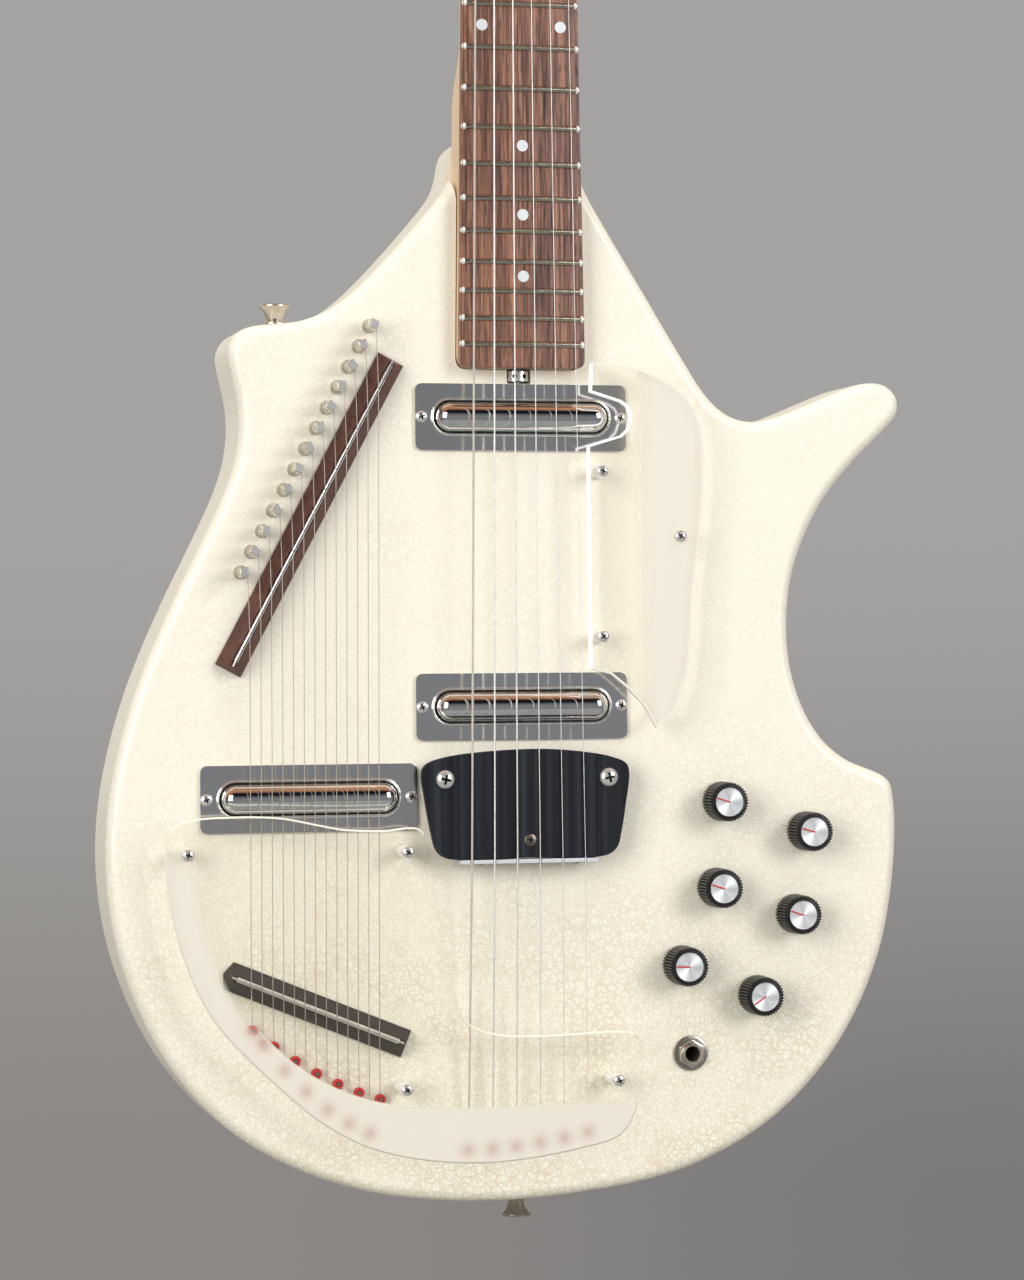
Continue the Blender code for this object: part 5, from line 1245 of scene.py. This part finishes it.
@dataclass
class MainStrings:
    """Six strings from their ball ends over the strip and the nut to the posts."""

    finishes: Finishes
    fittings: Fittings
    radii: Sequence[float] = (0.50, 0.40, 0.34, 0.22, 0.18, 0.15)
    nut_pitch: float = 6.86
    saddle_pitch: float = 10.12
    saddle_z: float = -670.0
    saddle_height: float = 12.1
    tail: Pair = (-25.7, -795.0)
    tail_step: float = 10.72
    tail_rise: float = 5.9
    posts: tuple[Pair, Pair] = ((-21.241, 32.0), (10.699, 162.0))
    post_gap: float = 4.48

    def x_at(self, index: int, z: float) -> float:
        """X of a string at a height."""
        place = index - (len(self.radii) - 1) / 2
        return place * (self.nut_pitch + (self.saddle_pitch - self.nut_pitch) * z / self.saddle_z)

    def tail_place(self, index: int) -> Pair:
        """X and z where a string ends."""
        share = index / (len(self.radii) - 1)
        return self.tail[0] + index * self.tail_step, self.tail[1] + self.tail_rise * share ** 2

    def build(self) -> None:
        """Model strip, strings, lock windings and ball ends."""
        strip = Work.plate("saddle_strip", block_outline((0.4, self.saddle_z), (61.4, 1.7), 0.3), 12.1, 7.1)
        for index in range(len(self.radii)):
            x = self.x_at(index, self.saddle_z)
            strip.cut(Work.plate("notch", block_outline((x, self.saddle_z), (1.3, 4), 0.1, 1), 15, 11.5))
        strip.beveled(0.15, 2, 50).smooth(40)
        strip.dressed(self.finishes.aluminium, "chrome", replaces=("main_strings",))
        for side, x in (("left", -20.5), ("right", 22.0)):
            place = Vector((x, BODY_FRONT - 8.6, self.saddle_z - 0.9)) * MM
            self.fittings.screw(ScrewHead.TINY, place, f"strip_screw_{side}", 20, self.finishes.dark_nickel,
                                facing=Facing.DOWN)
        for index, radius in enumerate(self.radii):
            share = index / (len(self.radii) - 1)
            tail = self.tail_place(index)
            first, last = (Vector(post) for post in self.posts)
            post = first.lerp(last, share)
            saddle = at(self.x_at(index, self.saddle_z), self.saddle_z, self.saddle_height)
            nut = Vector((self.x_at(index, 0), -2.0, 4.8)) * MM
            winding = Vector((post.x + self.post_gap, 0.8, post.y)) * MM
            path = [at(*tail, 3.0), saddle, nut, winding]
            material = self.finishes.plain_wire if index else self.finishes.wound_wire
            string = Work.tube(f"string_{index + 1}", path, radius, 3)
            string.smooth(50).dressed(material, "string_steel")
            ball_end(f"string_{index + 1}", tail, saddle, radius, self.finishes)


def ball_end(name: str, tail: Pair, towards: Vector, radius: float, finishes: Finishes,
             ring: bpy.types.Material | None = None) -> None:
    """The end of a string: its twisted lock, its ball and the pin that holds it.

    Args:
        name: The string's name.
        tail: X and z of the pin, in millimetres.
        towards: Where the string runs, in metres.
        radius: The string's radius, in millimetres.
        finishes: The finishes.
        ring: The ball's finish.
    """
    start = at(*tail, 3.0)
    run = (towards - start).normalized()
    side = run.cross(Vector((0, 1, 0))).normalized()
    up = side.cross(run)
    sides, turns, length = 8, 9, 13.0
    twist = []
    for step in range(turns * sides + 1):
        angle = 2 * math.pi * step / sides
        distance = (3.4 + length * step / (turns * sides)) * MM
        offset = (side * math.cos(angle) + up * math.sin(angle)) * radius * 1.4 * MM
        twist.append(start + run * distance + offset)
    lock = Work.tube(f"{name}_lock", twist, radius * 0.75, 1)
    lock.smooth(60).dressed(finishes.plain_wire, "string_steel")
    ball_profile = ((1.1, 1.4), (1.9, 1.4), (2.35, 2.0), (2.35, 3.6), (1.9, 4.2), (1.1, 4.2))
    ball = Work.turned(f"{name}_ball", ball_profile, at(*tail), 24)
    ball.smooth(50).dressed(ring or finishes.nickel, "string_steel")
    pin_profile = ((0, -2.0), (1.0, -2.0), (1.0, 4.0), (0.75, 4.4), (0, 4.4))
    pin = Work.turned(f"{name}_anchor", pin_profile, at(*tail), 16)
    pin.smooth(50).dressed(finishes.dark_nickel, "string_steel")


# Drone strings

@dataclass
class DroneBank:
    """Thirteen drone strings with their pins and two bridges."""

    finishes: Finishes
    count: int = 13
    radius: float = 0.17
    first_x: float = -66.1
    pitch: float = 4.61
    pin_first: Pair = (-67.1, -439.0)
    pin_step: Pair = (-4.73, -8.83)
    upper: tuple[Pair, Pair] = ((-58.9, -456.2), (-127.0, -582.9))
    lower: tuple[Pair, Pair] = ((-127.3, -717.7), (-57.5, -746.3))
    height: float = 10.5
    bar: Triple = (6.2, 1.6, 8.0)
    pin_radius: float = 2.5
    turns_from: float = 5.0

    def pin_place(self, index: int) -> Pair:
        """X and z of a tuning pin."""
        return self.pin_first[0] + index * self.pin_step[0], self.pin_first[1] + index * self.pin_step[1]

    def near(self, index: int) -> bool:
        """Whether a string ends in the row nearer to the bridge."""
        return index % 2 == 0 and index < self.count - 1

    def tail_place(self, index: int) -> Pair:
        """X and z where a string ends, in one of two staggered rows."""
        x = self.first_x - index * self.pitch + 1.6
        near = self.near(index)
        start, slope, bend = (-771.5, 0.30, 4.8) if near else (-786.1, 0.42, 9.5)
        distance = self.first_x + 1.6 - x - (0 if near else self.pitch)
        return x, start + slope * distance + bend * distance ** 2 * MM

    @staticmethod
    def z_on(ends: tuple[Pair, Pair], x: float) -> float:
        """Height of a line through two ends, at x."""
        share = (x - ends[0][0]) / (ends[1][0] - ends[0][0])
        return ends[0][1] + (ends[1][1] - ends[0][1]) * share

    def build(self) -> None:
        """Model strings, ends, pins and bridges."""
        self.bridge("drone_bar_upper", self.upper, (4.0, 4.5), 0.1, self.finishes.bridge_wood,
                    "drone_bridge_upper", (0.85, self.finishes.chrome))
        self.bridge("drone_bar_lower", self.lower, (2.6, 5.5), 2.4, self.finishes.dark_wood,
                    "drone_bridge_lower", (1.1, self.finishes.thread))
        pin = self.pin_pattern()
        for index in range(self.count):
            x, z = self.pin_place(index)
            turn = (0.35, 1.2, 0.8, 0.1, 0.6, 1.4, 0.9)[index % 7]
            knob = pin.copied(f"tuning_pin_{index + 1}", at(x, z), turn)
            # The head's front face gets the pale pin top finish: painted highlight.
            knob.marked(lambda centre, normal: normal.y < -0.93 and centre.y < (BODY_FRONT - 15) * MM)
            knob.smooth(50).dressed(self.finishes.nickel, "nickel", f"drone_pin_{index + 1}",
                                    (f"drone_pin_{index + 1}",), (self.finishes.pin_top,))
            self.string(index)
        pin.discarded()

    def string(self, index: int) -> None:
        """One drone string, with its turns round the pin and its end."""
        x = self.first_x - index * self.pitch
        pin_x, pin_z = self.pin_place(index)
        ring = self.pin_radius + 0.3 + self.radius
        start_x = pin_x + ring
        upper_x = start_x + (x - start_x) * 0.2
        tail = self.tail_place(index)
        saddle = at(x, self.z_on(self.lower, x), self.height)
        path = [at(*tail, 3.0), saddle, at(upper_x, self.z_on(self.upper, upper_x), self.height),
                at(start_x, pin_z, self.turns_from)]
        for step in range(1, 33):
            angle = 2 * math.pi * step / 10
            path.append(at(pin_x + ring * math.cos(angle), pin_z + ring * math.sin(angle),
                           self.turns_from - 0.042 * step))
        wire = Work.tube(f"drone_{index + 1}", path, self.radius, 2)
        wire.smooth(60).dressed(self.finishes.drone_wire, "string_steel",
                                replaces=("drone_strings",) if index == 0 else ())
        ball_end(f"drone_{index + 1}", tail, saddle, self.radius, self.finishes, self.finishes.red)

    @staticmethod
    def pin_pattern() -> Work:
        """A pin with a square head and a domed top, facing the front at the origin."""
        profile = ((0, -20), (2.5, -20), (2.5, 8.0), (2.1, 9.2), (0, 9.2))
        pin = Work.turned("pin_pattern", profile, Vector(), 24)
        head = Work.plate("head", block_outline((0, 0), (4.0, 4.0), 0.35, 2), 16.0, 8.0)
        head.moved(Matrix.Translation((0, -BODY_FRONT * MM, 0)))
        head.shaped(lambda p: Vector((p.x * 0.94, p.y, p.z * 0.94)) if p.y < -15 * MM else p)
        return pin.joined(head.beveled(1.15, 4, 50))

    def bridge(self, name: str, ends: tuple[Pair, Pair], over: Pair, point: float,
               wood: bpy.types.Material, node: str, metal: tuple[float, bpy.types.Material]) -> None:
        """A ridged bar with the saddle rod in its groove.

        Args:
            name: The bar's name.
            ends: The rod's two ends.
            over: How far the bar runs past the rod.
            point: How far its first end juts out as an arrow.
            wood: Its finish.
            node: The solid it stands for.
            metal: The rod's radius and finish.
        """
        start, end = Vector(ends[0]), Vector(ends[1])
        along = (end - start).normalized()
        across = Vector((-along.y, along.x))
        half, ridge, height = self.bar
        low = start - along * over[0]
        high = end + along * over[1]
        foot = [low - along * point, low + across * half, high + across * half, high - across * half,
                low - across * half]
        bar = Work.plate(name, foot, height, 0.3)
        squeeze = ridge / half

        def pitched(corner: Vector) -> Vector:
            """Draw the top in towards the ridge, and away from both ends."""
            if corner.y > (BODY_FRONT - height + 0.5) * MM:
                return corner
            here = Vector((corner.x, corner.z)) / MM
            offset = (here - start).dot(across)
            reach = (here - start).dot(along)
            moved = here - across * offset * (1 - squeeze) + along * (2.0 if reach < 20 else -2.0)
            return Vector((moved.x * MM, corner.y, moved.y * MM))

        bar.shaped(pitched)
        with editing(bar.part):
            bpy.ops.mesh.bisect(plane_co=(0, (BODY_FRONT - 1.3) * MM, 0), plane_no=(0, 1, 0))
        bar.shaped(lambda p: self._upright(p, start, across, half))
        bar.beveled(0.25, 2, 30)
        groove = bar_outline(start - along * 0.8, end + along * 0.8, 1.25)
        bar.cut(Work.plate("groove", groove, 12, height - 1.2))
        bar.smooth(30).dressed(wood, "rosewood", replaces=(node,))
        level = self.height - self.radius + 0.2 - metal[0]
        rod_path = [at(start.x, start.y, level), at(end.x, end.y, level)]
        rod = Work.tube(f"{name}_rod", rod_path, metal[0], 6)
        for number, (tip, way) in enumerate(((start, -1), (end, 1)), start=1):
            reach = tip + along * way * 2.4
            rod.gathered(Work.tube(f"tip_{number}", [at(tip.x, tip.y, level), at(reach.x, reach.y, level)],
                                   0.45, 2))
        rod.smooth(50).dressed(metal[1], "chrome")

    @staticmethod
    def _upright(corner: Vector, start: Vector, across: Vector, half: float) -> Vector:
        """Keep the bar's lowest edge upright, out to its full width."""
        if abs(corner.y - (BODY_FRONT - 1.3) * MM) > 1e-5:
            return corner
        here = Vector((corner.x, corner.z)) / MM
        offset = (here - start).dot(across)
        if abs(offset) < 0.5 * half:
            return corner
        moved = here + across * (math.copysign(half, offset) - offset)
        return Vector((moved.x * MM, corner.y, moved.y * MM))


# Controls

@dataclass
class Controls:
    """Six fluted knobs with spun discs, and the plug socket."""

    finishes: Finishes
    places: Sequence[tuple[float, float, float]] = (
        (90.2, -645.9, 162), (129.2, -659.7, 164), (87.5, -683.8, 162), (123.7, -696.2, 161),
        (71.4, -717.6, 177.5), (105.9, -731.6, 213.7))
    radius: float = 8.7
    flutes: int = 38
    flute: float = 0.9
    disc: float = 6.4
    seat: float = 6.5
    skirt_top: float = 14.2
    ridge: float = 0.42
    taper: float = 0.985
    jack: Pair = (75.5, -756.6)

    def build(self) -> None:
        """Model every knob and the socket."""
        skirt = self.skirt_pattern()
        for number, (x, z, angle) in enumerate(self.places, start=1):
            body = f"knob_{number}"
            copy = skirt.copied(f"knob_skirt_{number}", at(x, z), 0.0)
            copy.smooth(30).dressed(self.finishes.black, "black_plastic", body, (body,),
                                    (self.finishes.rubbed_black,))
            profile = ((0, 13.0), (self.disc, 13.0), (self.disc, 14.0), (self.disc - 0.25, 14.25),
                       (self.disc - 0.5, 14.1), (0, 14.1))
            disc = Work.turned(f"knob_disc_{number}", profile, at(x, z), 48)
            finish = SpunDisc(f"spun_disc_{number}", at(x, z)).make()
            disc.smooth(40).dressed(finish, "aluminium", body)
            self.pointer(number, x, z, angle, body)
        skirt.discarded()
        self.socket()

    def skirt_pattern(self) -> Work:
        """The black skirt with its flutes and its shaft, facing the front at the origin."""
        steps = self.flutes * 6
        points = []
        for step in range(steps):
            angle = 2 * math.pi * step / steps
            reach = self.radius - self.flute * (1 - abs(math.sin(self.flutes * angle / 2)))
            points.append((reach * math.cos(angle), reach * math.sin(angle)))
        skirt = Work.plate("skirt_pattern", points, self.skirt_top, 0.8)
        skirt.cut(Work.plate("seat", circle_outline((0, 0), self.seat, 48), 20, 12.6))
        upper = (BODY_FRONT - 10) * MM
        skirt.shaped(lambda p: Vector((p.x * self.taper, p.y, p.z * self.taper)) if p.y < upper else p)
        rim_profile = ((self.seat, 12.0), (7.4, 12.0), (7.4, 14.3), (7.2, 14.55), (6.8, 14.6), (6.55, 14.45),
                       (self.seat, 12.0))
        rim = Work.turned("rim", rim_profile, at(0, 0), 48)
        shaft = Work.turned("shaft", ((0, -12.8), (3, -12.8), (3, 2), (0, 2)), at(0, 0), 20)
        # The flutes' ridges get the brown finish: painted highlight and reflection of the cream body.
        skirt.marked(lambda centre, normal: abs(normal.y) < 0.3
                     and math.hypot(centre.x, centre.z) > (self.radius - self.ridge) * MM)
        skirt.gathered(rim, shaft)
        return skirt.moved(Matrix.Translation((0, -BODY_FRONT * MM, 0)))

    def pointer(self, number: int, x: float, z: float, angle: float, body: str) -> None:
        """The red line on a disc, from its middle to its rim."""
        turn = math.radians(angle)
        along = Vector((math.cos(turn), math.sin(turn)))
        middle = Vector((x, z))
        corners = bar_outline(middle - along * 0.3, middle + along * 6.1, 0.33)
        line = Work.plate(f"knob_pointer_{number}", corners, self.skirt_top, 14.0)
        line.beveled(0.04, 1, 50).dressed(self.finishes.red, "black_plastic", body)

    def socket(self) -> None:
        """The socket's washer, nut and threaded bushing round an open bore."""
        x, z = self.jack
        barrel_profile = ((3.3, 4.0), (3.6, 4.35), (4.2, 4.35), (4.55, 4.0), (4.55, 0.5), (4.6, -5.3),
                          (7.0, -5.3), (7.0, -24.3), (3.3, -24.3))
        barrel = Work.turned("socket_barrel", barrel_profile, at(x, z), 36)
        barrel.smooth(40).dressed(self.finishes.nickel, "nickel", replaces=("output_jack",))
        nut = Work.plate("socket_nut", circle_outline(self.jack, 6.3, 6), 3.4, 1.1)
        nut.cut(Work.plate("hole", circle_outline(self.jack, 4.5, 32), 10, -10))
        nut.beveled(0.45, 2, 25).smooth(20).dressed(self.finishes.nickel, "nickel")
        washer_profile = ((4.7, 0.3), (7.7, 0.3), (7.85, 0.5), (7.6, 1.0), (6.6, 1.25), (4.7, 1.2))
        washer = Work.turned("socket_washer", washer_profile, at(x, z), 48)
        washer.smooth(40).dressed(self.finishes.dark_nickel, "nickel")
        recolour("control_pots", self.finishes.aluminium)


# Clear plates

@dataclass
class ClearPlates:
    """The pickguard and the drone cover: clear sheets on standoffs, frosted in part.

    Sizes are in millimetres, but whole_face is in square metres: only a sheet's front and back are larger.
    The painted soft spots in the frost, a painted image of the string ends beneath, lie where the string
    ends show from eye, given as x, distance and z.
    """

    finishes: Finishes
    fittings: Fittings
    ends: Sequence[Pair]
    guard_curve: Sequence[Pair] = ((29.3, -454.3), (43.0, -455.2), (55.6, -458.3), (69.6, -466.0),
                                   (77.8, -477.1), (80.0, -488.2), (79.0, -521.8), (74.7, -555.2),
                                   (72.1, -588.7), (66.1, -605.4))
    guard_corners: Sequence[Pair] = ((57.9, -613.1), (52.2, -603.0), (44.8, -595.6), (37.4, -589.5),
                                     (28.2, -587.2), (27.8, -490.0), (42.6, -485.6), (45.5, -483.0),
                                     (46.8, -479.6), (46.9, -476.2), (45.4, -473.0), (42.4, -471.0),
                                     (28.9, -466.9))
    guard_screws: Sequence[Pair] = ((34.4, -501.2), (69.4, -529.4), (34.1, -573.1))
    guard_top: float = 12.0
    cover_knots: Sequence[Pair] = (
        (-157.4, -656.5), (-152.5, -651.0), (-132.1, -648.6), (-107.6, -649.4), (-82.8, -654.5),
        (-62.1, -655.3), (-49.5, -654.7), (-46.1, -658.6), (-43.6, -672.8), (-38.0, -702.0),
        (-31.5, -733.1), (-27.0, -739.6), (-18.7, -743.0), (-6.9, -744.9), (21.0, -744.7),
        (41.0, -744.4), (47.5, -746.2), (49.5, -750.2), (49.1, -767.3), (46.4, -779.3),
        (39.9, -789.3), (24.6, -794.1), (-11.3, -799.1), (-36.4, -798.5), (-58.9, -794.8),
        (-75.5, -789.2), (-92.1, -779.6), (-108.4, -765.9), (-132.8, -741.7), (-142.4, -727.6),
        (-150.5, -708.9), (-154.4, -695.2), (-157.6, -676.0))
    cover_screws: Sequence[Pair] = ((-148.6, -664.5), (-53.8, -665.0), (-55.1, -766.6), (39.0, -765.8))
    cover_top: float = 14.5
    thickness: float = 3.0
    whole_face: float = 1e-3
    eye: Triple = (-371.1, 1490.0, -585.7)

    def build(self) -> None:
        """Model both plates with their standoffs and screws."""
        guard_outline = smooth_curve(self.guard_curve, 6, False) + list(self.guard_corners)
        # The faces that the rules below pick get a pale edge finish: painted highlight where the edges catch
        # light.
        self.plate("guard", guard_outline, self.guard_top, self.guard_screws, "pickguard",
                   (Acrylic("guard_acrylic", self.guard_frost).make(), self.finishes.edge),
                   lambda centre, _: centre.x < 30 * MM or (centre.x < 48 * MM and
                                                            -490 * MM < centre.z < -466 * MM), rim=0.9)
        cover_outline = smooth_curve(self.cover_knots, 5, True)
        # Painted show-through: the string ends beneath, as seen through the cover from the eye.
        eye_x, eye_distance, eye_z = self.eye
        share = (self.cover_top - self.thickness) / eye_distance
        spots = [(x + (eye_x - x) * share, z + (eye_z - z) * share) for x, z in self.ends]
        self.plate("cover", cover_outline, self.cover_top, self.cover_screws, "drone_cover",
                   (Acrylic("cover_acrylic", self.cover_frost, spots).make(), self.finishes.soft_edge),
                   lambda _, normal: abs(normal.y) < 0.95 and (normal.z > 0.3 or normal.x < -0.3))

    def plate(self, name: str, outline: Sequence[Pair], top: float, screws: Sequence[Pair], node: str,
              looks: tuple[bpy.types.Material, bpy.types.Material],
              lit: Callable[[Vector, Vector], bool], rim: float = 0.0) -> None:
        """One plate with what holds it.

        Args:
            name: The plate's short name.
            outline: Its outline.
            top: Height of its face.
            screws: Where its screws stand.
            node: The solid it stands for.
            looks: The finishes of its faces and of its lit edges, which carry painted highlight.
            lit: Which of its faces gather light and get the edge finish with its painted highlight.
            rim: Width of the rim that its sawn edge lights up, shown with painted highlight, if it isn't
                chamfered.
        """
        sheet = Work.plate(f"{name}_sheet", outline, top, top - self.thickness)
        if rim:
            sheet.rimmed(rim)
            for face in sheet.part.data.polygons:
                face.material_index = 0 if face.area > self.whole_face else 2
        else:
            sheet.beveled(0.7, 1, 50)
        # Rim faces and lit faces get pale finishes: painted highlight, with a slight painted glow.
        sheet.marked(lit).smooth(30)
        sheet.dressed(looks[0], "clear_acrylic", replaces=(node,), others=(looks[1], self.finishes.rim))
        for number, (x, z) in enumerate(screws, start=1):
            under = top - self.thickness - 0.05
            profile = ((1.6, 0.3), (2.9, 0.3), (2.9, under), (1.6, under))
            spacer = Work.turned(f"{name}_spacer_{number}", profile, at(x, z), 28)
            spacer.smooth(40).dressed(self.finishes.milky, "clear_acrylic")
            shank = Work.turned(f"{name}_shank_{number}", ((0, -3), (1.3, -3), (1.3, top), (0, top)),
                                at(x, z), 16)
            shank.smooth(40).dressed(self.finishes.screw, "nickel")
            self.fittings.screw(ScrewHead.SMALL, at(x, z, top), f"{name}_screw_{number}", 17 * number)

    @staticmethod
    def guard_frost(sheet: Sheet) -> Wire:
        """Frost on the pickguard's treble side, with a clearer rim."""
        point = sheet.place()
        x = sheet.part_of(point, 0)
        z = sheet.part_of(point, 2)
        inner = x.step(45 * MM, 62 * MM)
        rim = 1 - (x + (z + 520 * MM) * -0.07).step(73 * MM, 78 * MM) * 0.35
        return inner * rim

    @staticmethod
    def cover_frost(sheet: Sheet) -> Wire:
        """Frost along the drone cover's outer edge, soft beside the strings and sharp below them."""
        point = sheet.place()
        x = sheet.part_of(point, 0)
        z = sheet.part_of(point, 2)
        power = 2.372
        across = (-0.02755 - x).apply("MAXIMUM", 0.0) / 0.11686
        down = (-0.650 - z).apply("MAXIMUM", 0.0) / 0.12627
        reach = (across ** power + down ** power) ** (1 / power)
        sharp = x.step(-0.124, -0.110)
        band = reach.step(1.0, 1.045) * (1 - sharp) + reach.step(0.992, 0.999) * sharp
        return band * (1 - z.step(-0.676, -0.655))


# Strap buttons

@dataclass
class StrapButtons:
    """Two flared buttons on the edge of the body."""

    finishes: Finishes
    middle: float = 30.75

    def build(self) -> None:
        """Model both buttons."""
        profile = ((0, -22), (1.8, -20), (1.8, 0.9), (5.2, 0.9), (5.2, 1.4), (3.9, 2.2), (3.6, 3.2),
                   (4.2, 5.0), (5.4, 7.2), (6.75, 8.5), (6.75, 9.0), (6.4, 9.4), (2.6, 9.4), (2.2, 9.0),
                   (0, 9.0))
        for name, x, z, facing, finish in (("upper", -103.8, -437.3, Facing.UP, self.finishes.nickel),
                                           ("lower", 1.5, -818.3, Facing.DOWN, self.finishes.dark_nickel)):
            centre = Vector((x, self.middle, z)) * MM
            button = Work.turned(f"strap_button_{name}_turned", profile, centre, 40, facing.value)
            button.smooth(35).dressed(finish, "nickel", replaces=(f"strap_button_{name}",))


# Studio

@dataclass
class Studio:
    """Floor, backdrop, lamps and camera."""

    camera_place: Triple = (-0.37106, -1.48663, -0.58573)
    yaw: float = 0.240810489
    pitch: float = -0.00739936
    roll: float = -0.00756836
    lens: float = 99.487
    floor_z: float = -1.25
    floor_radius: float = 2100.0
    floor_tones: tuple[Triple, Triple] = ((0.255, 0.256, 0.260), (0.285, 0.288, 0.293))
    floor_fade: Pair = (0.9, 4.2)
    even_light: Triple = (0.435, 0.427, 0.405)
    paper: Triple = (0.374, 0.367, 0.360)
    paper_low: tuple[Triple, Triple] = ((0.262, 0.246, 0.235), (0.202, 0.198, 0.198))
    mirror: Sequence[tuple[float, Triple]] = (
        (0.0, (0.34, 0.33, 0.31)), (0.240, (0.34, 0.33, 0.31)), (0.262, (0.012, 0.012, 0.015)),
        (0.325, (0.012, 0.012, 0.015)), (0.342, (0.15, 0.152, 0.16)), (0.500, (0.215, 0.217, 0.222)),
        (0.553, (0.12, 0.122, 0.13)), (0.580, (0.010, 0.010, 0.014)), (0.642, (0.008, 0.008, 0.012)),
        (0.660, (0.30, 0.14, 0.075)), (0.710, (0.52, 0.25, 0.13)), (0.860, (0.55, 0.29, 0.17)),
        (0.890, (0.70, 0.64, 0.52)), (1.0, (0.50, 0.48, 0.44)))

    def camera(self) -> None:
        """Stand the camera where the photograph was taken."""
        yaw = Matrix.Rotation(-self.yaw, 3, "Y")
        pitch = Matrix.Rotation(self.pitch, 3, "X")
        roll = Matrix.Rotation(self.roll, 3, "Z")
        view = roll @ pitch @ yaw
        rows = [Vector((view[k][0], view[k][2], -view[k][1])) for k in range(3)]
        data = bpy.data.cameras.new("camera")
        data.sensor_fit = "VERTICAL"
        data.sensor_height = 36
        data.lens = self.lens
        camera = bpy.data.objects.new("camera", data)
        turn = Matrix((rows[0], -rows[1], -rows[2])).transposed()
        camera.matrix_world = Matrix.Translation(self.camera_place) @ turn.to_4x4()
        bpy.context.scene.collection.objects.link(camera)
        bpy.context.scene.camera = camera

    def lamp(self, name: str, place: Triple, target: Triple, size: Pair, power: float,
             colour: Triple = (1, 1, 1), mirrored: bool = True) -> None:
        """A soft rectangular lamp that looks at a target, seen in polished metal or not."""
        data = bpy.data.lights.new(name, "AREA")
        data.shape = "RECTANGLE"
        data.size, data.size_y = size
        data.energy = power
        data.color = colour
        lamp = bpy.data.objects.new(name, data)
        lamp.location = place
        lamp.rotation_euler = (Vector(target) - Vector(place)).to_track_quat("-Z", "Y").to_euler()
        lamp.visible_glossy = mirrored
        bpy.context.scene.collection.objects.link(lamp)

    def build(self) -> None:
        """Set up the whole studio."""
        self.camera()
        self.floor()
        self.lamp("key", (2.3, -2.8, 0.55), (0, 0, -0.6), (1.6, 2.0), 70.5, (0.985, 0.99, 1.0))
        self.lamp("fill", (-2.4, -2.1, 0.15), (0, 0, -0.6), (1.6, 2.2), 69, (1.0, 0.985, 0.96))
        self.lamp("top", (0.0, -0.3, 1.4), (0, 0.2, -0.5), (1.6, 1.2), 16, mirrored=False)
        self.room()
        bpy.context.scene.view_settings.view_transform = "Standard"

    def room(self) -> None:
        """The room's even light, what polished metal mirrors of it, and the paper behind the instrument.

        The paper is seen only directly. It darkens towards the floor, more so on the right.
        """
        sky = Sheet("studio", world=True)
        way = sky.add("ShaderNodeTexCoord", out="Generated")
        rise = sky.part_of(way, 2).apply("ARCTAN2", sky.part_of(way, 1) * -1.0)
        cloud = sky.noise(way, 5.0, 2.0)
        height = rise / (2 * math.pi) + 0.5 + (cloud - 0.5) * 0.012
        seen = sky.ramp(height, *self.mirror)
        shade = sky.mix(sky.add("ShaderNodeLightPath", out="Is Glossy Ray"), self.even_light, seen)
        bearing = sky.part_of(way, 0).apply("ARCTAN2", sky.part_of(way, 1))
        right = bearing.step(0.153, 0.372) * (1 - bearing.step(0.6, 1.6))
        backdrop = sky.mix(sky.part_of(way, 2).step(-0.151, 0.05), sky.mix(right, *self.paper_low),
                           self.paper)
        shade = sky.mix(sky.add("ShaderNodeLightPath", out="Is Camera Ray"), shade, backdrop)
        sky.feed(sky.surface.inputs["Color"], shade)
        bpy.context.scene.world = sky.material

    def floor(self) -> None:
        """A round pale floor below the picture, which fades into the backdrop and takes the shadow."""
        profile = ((0, -20), (self.floor_radius, -20), (self.floor_radius, 0), (0, 0))
        part = Work.turned("floor", profile, Vector((0, 0, self.floor_z)), 96, Facing.UP.value).part
        sheet = Sheet("studio_paper")
        cloud = sheet.noise(sheet.place(), 1.4, 2.0)
        x = sheet.part_of(sheet.place(), 0)
        y = sheet.part_of(sheet.place(), 1)
        sheet.set(Base_Color=sheet.mix(cloud, *self.floor_tones), Roughness=0.9,
                  Alpha=1 - (x * x + y * y).step(*self.floor_fade))
        part.data.materials.append(sheet.material)


def main() -> None:
    """Build every part of the scene in order."""
    logging.basicConfig(level=logging.INFO, format="%(name)s: %(message)s")
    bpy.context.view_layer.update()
    finishes = Finishes()
    fittings = Fittings(finishes)
    body = Body(finishes, fittings)
    body.build()
    body.dress()
    neck = Neck(finishes)
    neck.build()
    neck.dress()
    for name in Pickup.PLACES:
        Pickup(finishes, fittings, name).build()
    Bridge(finishes, fittings).build()
    main_strings = MainStrings(finishes, fittings)
    main_strings.build()
    drones = DroneBank(finishes)
    drones.build()
    Controls(finishes).build()
    ends = [main_strings.tail_place(index) for index in range(len(main_strings.radii))]
    ends += [drones.tail_place(index) for index in range(drones.count) if not drones.near(index)]
    ClearPlates(finishes, fittings, ends).build()
    StrapButtons(finishes).build()
    fittings.cleared()
    Studio().build()


if __name__ == "__main__":
    main()
